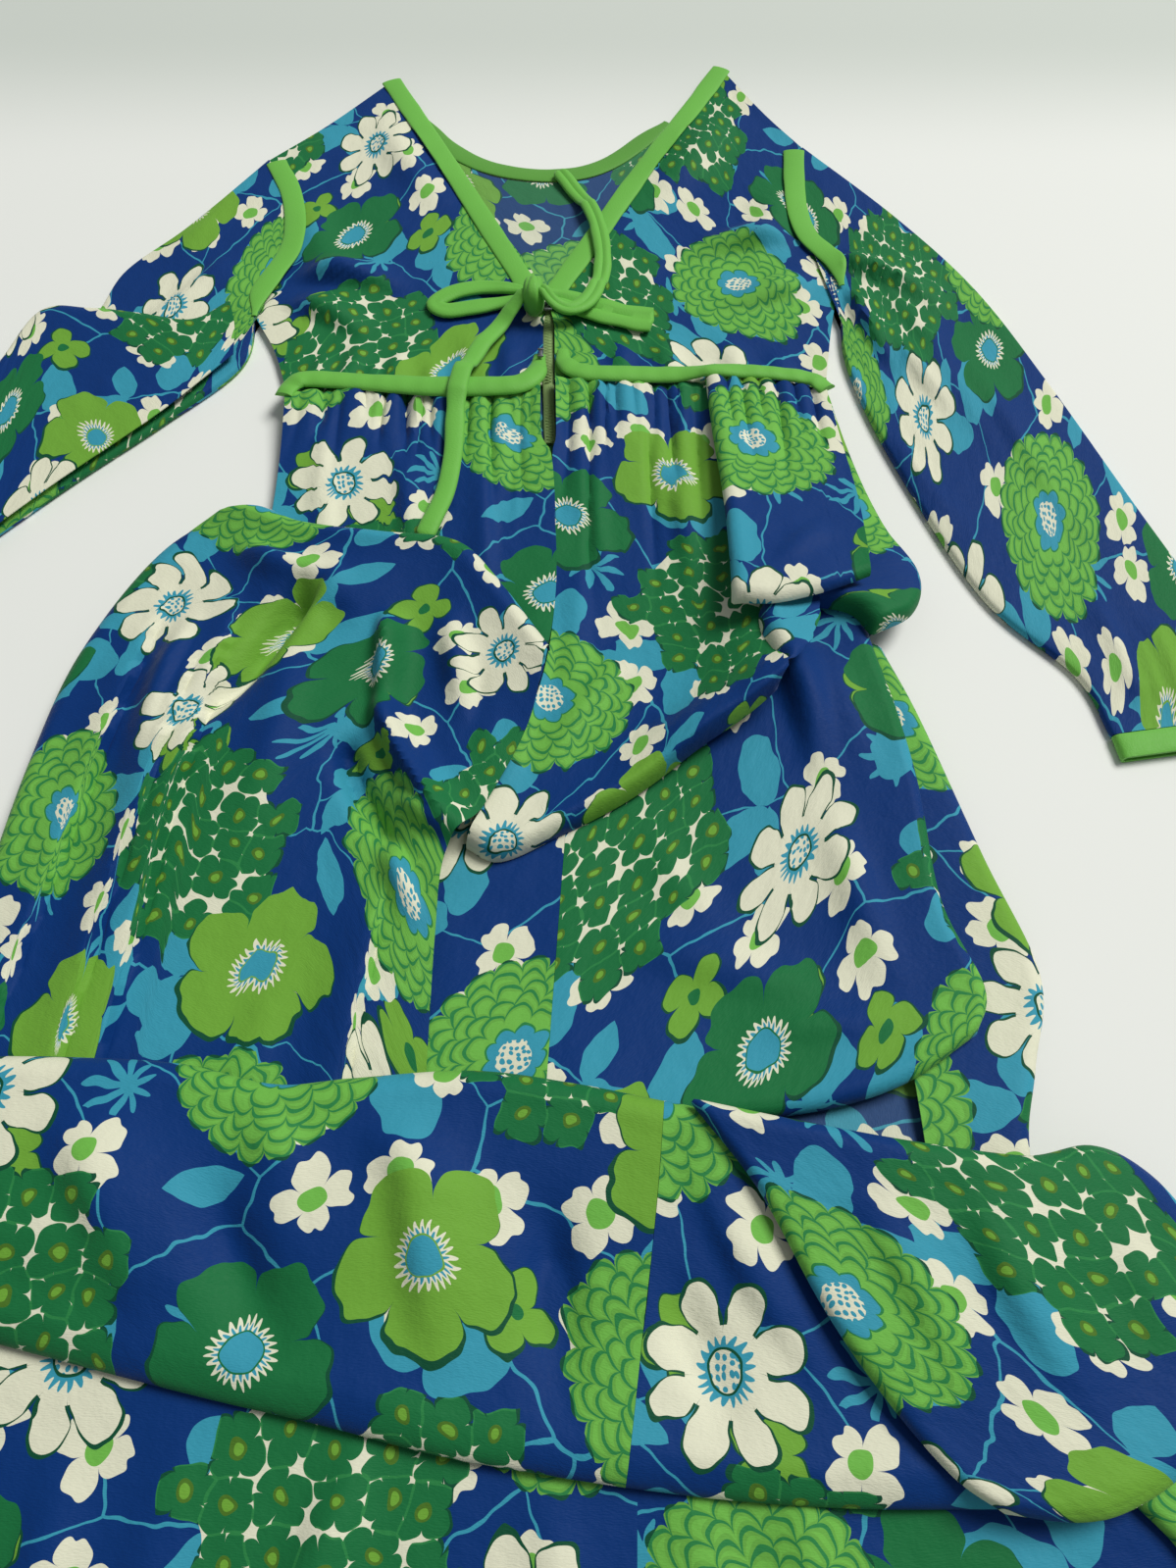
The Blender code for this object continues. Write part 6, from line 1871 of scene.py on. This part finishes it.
class DRESS_OT_skirt_hem(bpy.types.Operator):
    """Lay the hem panels and the folded band over them"""

    bl_idname = "dress.skirt_hem"
    bl_label = "Skirt, hem"

    def execute(self, context):
        lay_panels((SKIRT_HEM_LEFT, SKIRT_HEM_RIGHT))
        lay_panels((SKIRT_CORNER_RIGHT,))
        lay_panels((SKIRT_BAND_LEFT, SKIRT_BAND_MIDDLE))
        lay_panels((SKIRT_BAND_RIGHT,))
        return {"FINISHED"}


class DRESS_OT_stage(bpy.types.Operator):
    """Set the floor, the light and the camera"""

    bl_idname = "dress.stage"
    bl_label = "Stage"

    def execute(self, context):
        settings = context.scene.dress_stage
        set_floor(settings)
        set_light(settings)
        set_camera(settings)
        return {"FINISHED"}


def set_floor(settings):
    """The pale surface under the dress."""
    maker = bmesh.new()
    bmesh.ops.create_grid(maker, x_segments=1, y_segments=1, size=FLOOR_HALF)
    bmesh.ops.translate(maker, vec=(0, 0, FLOOR_LEVEL), verts=maker.verts)
    mesh = bpy.data.meshes.new("floor")
    maker.to_mesh(mesh)
    maker.free()
    mesh.materials.append(floor_material("pale_floor", settings.floor))
    floor = bpy.data.objects.new("floor", mesh)
    bpy.context.scene.collection.objects.link(floor)
    floor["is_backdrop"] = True


def set_light(settings):
    """Even room light and one large soft window."""
    scene = bpy.context.scene
    world = bpy.data.worlds.new("room")
    world.use_nodes = True
    background = world.node_tree.nodes["Background"]
    background.inputs["Color"].default_value = (*SKY_COLOUR, 1.0)
    background.inputs["Strength"].default_value = settings.sky
    scene.world = world
    lamp = bpy.data.lights.new("window", "AREA")
    lamp.energy, lamp.size, lamp.color = settings.light, WINDOW_SIZE, WINDOW_COLOUR
    window = bpy.data.objects.new("window", lamp)
    window.location = WINDOW_PLACE
    aim = Vector(WINDOW_AIM) - window.location
    window.rotation_euler = aim.to_track_quat("-Z", "Y").to_euler()
    scene.collection.objects.link(window)
    window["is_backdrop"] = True
    scene.view_settings.view_transform = "Standard"


def set_camera(settings):
    """The photo's camera, held over the hem and tipped towards the neck."""
    lens = bpy.data.cameras.new("camera")
    lens.lens, lens.sensor_width = settings.lens, 36.0
    lens.clip_start = 0.01
    camera = bpy.data.objects.new("camera", lens)
    camera.location = CAMERA_PLACE
    camera.rotation_euler = (CAMERA_TILT, 0.0, 0.0)
    bpy.context.scene.collection.objects.link(camera)
    bpy.context.scene.camera = camera


STEPS = (
    DRESS_OT_hidden_layers, DRESS_OT_bodice, DRESS_OT_skirt_top, DRESS_OT_sleeves, DRESS_OT_skirt_front,
    DRESS_OT_bindings, DRESS_OT_metal, DRESS_OT_bow, DRESS_OT_skirt_heap, DRESS_OT_skirt_hem, DRESS_OT_stage,
)
SETTINGS = {
    "dress_cloth": DressCloth, "dress_print": DressPrint, "dress_trim": DressTrim, "dress_stage": DressStage,
}


class DRESS_PT_panel(bpy.types.Panel):
    """Settings and steps of the dress"""

    bl_idname = "DRESS_PT_panel"
    bl_label = "Floral maxi dress"
    bl_space_type = "VIEW_3D"
    bl_region_type = "UI"
    bl_category = "Dress"

    def draw(self, context):
        for name, group in SETTINGS.items():
            box = self.layout.box()
            for setting in group.__annotations__:
                box.prop(getattr(context.scene, name), setting)
        for step in STEPS:
            self.layout.operator(step.bl_idname)


def register():
    for group in (*SETTINGS.values(), *STEPS, DRESS_PT_panel):
        bpy.utils.register_class(group)
    for name, group in SETTINGS.items():
        setattr(bpy.types.Scene, name, PointerProperty(type=group))


def unregister():
    for name in SETTINGS:
        delattr(bpy.types.Scene, name)
    for group in reversed((*SETTINGS.values(), *STEPS, DRESS_PT_panel)):
        bpy.utils.unregister_class(group)


def corners():
    """The lowest and highest corner of what is shown, as plain lists."""
    return [list(corner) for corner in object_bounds()]


def main():
    """Register the add-on and take its steps in order."""
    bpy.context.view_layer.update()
    register()
    for step in STEPS:
        group, name = step.bl_idname.split(".")
        if getattr(getattr(bpy.ops, group), name)() != {"FINISHED"}:
            raise RuntimeError(f"the step {step.bl_label} did not finish")


if __name__ == "__main__":
    main()
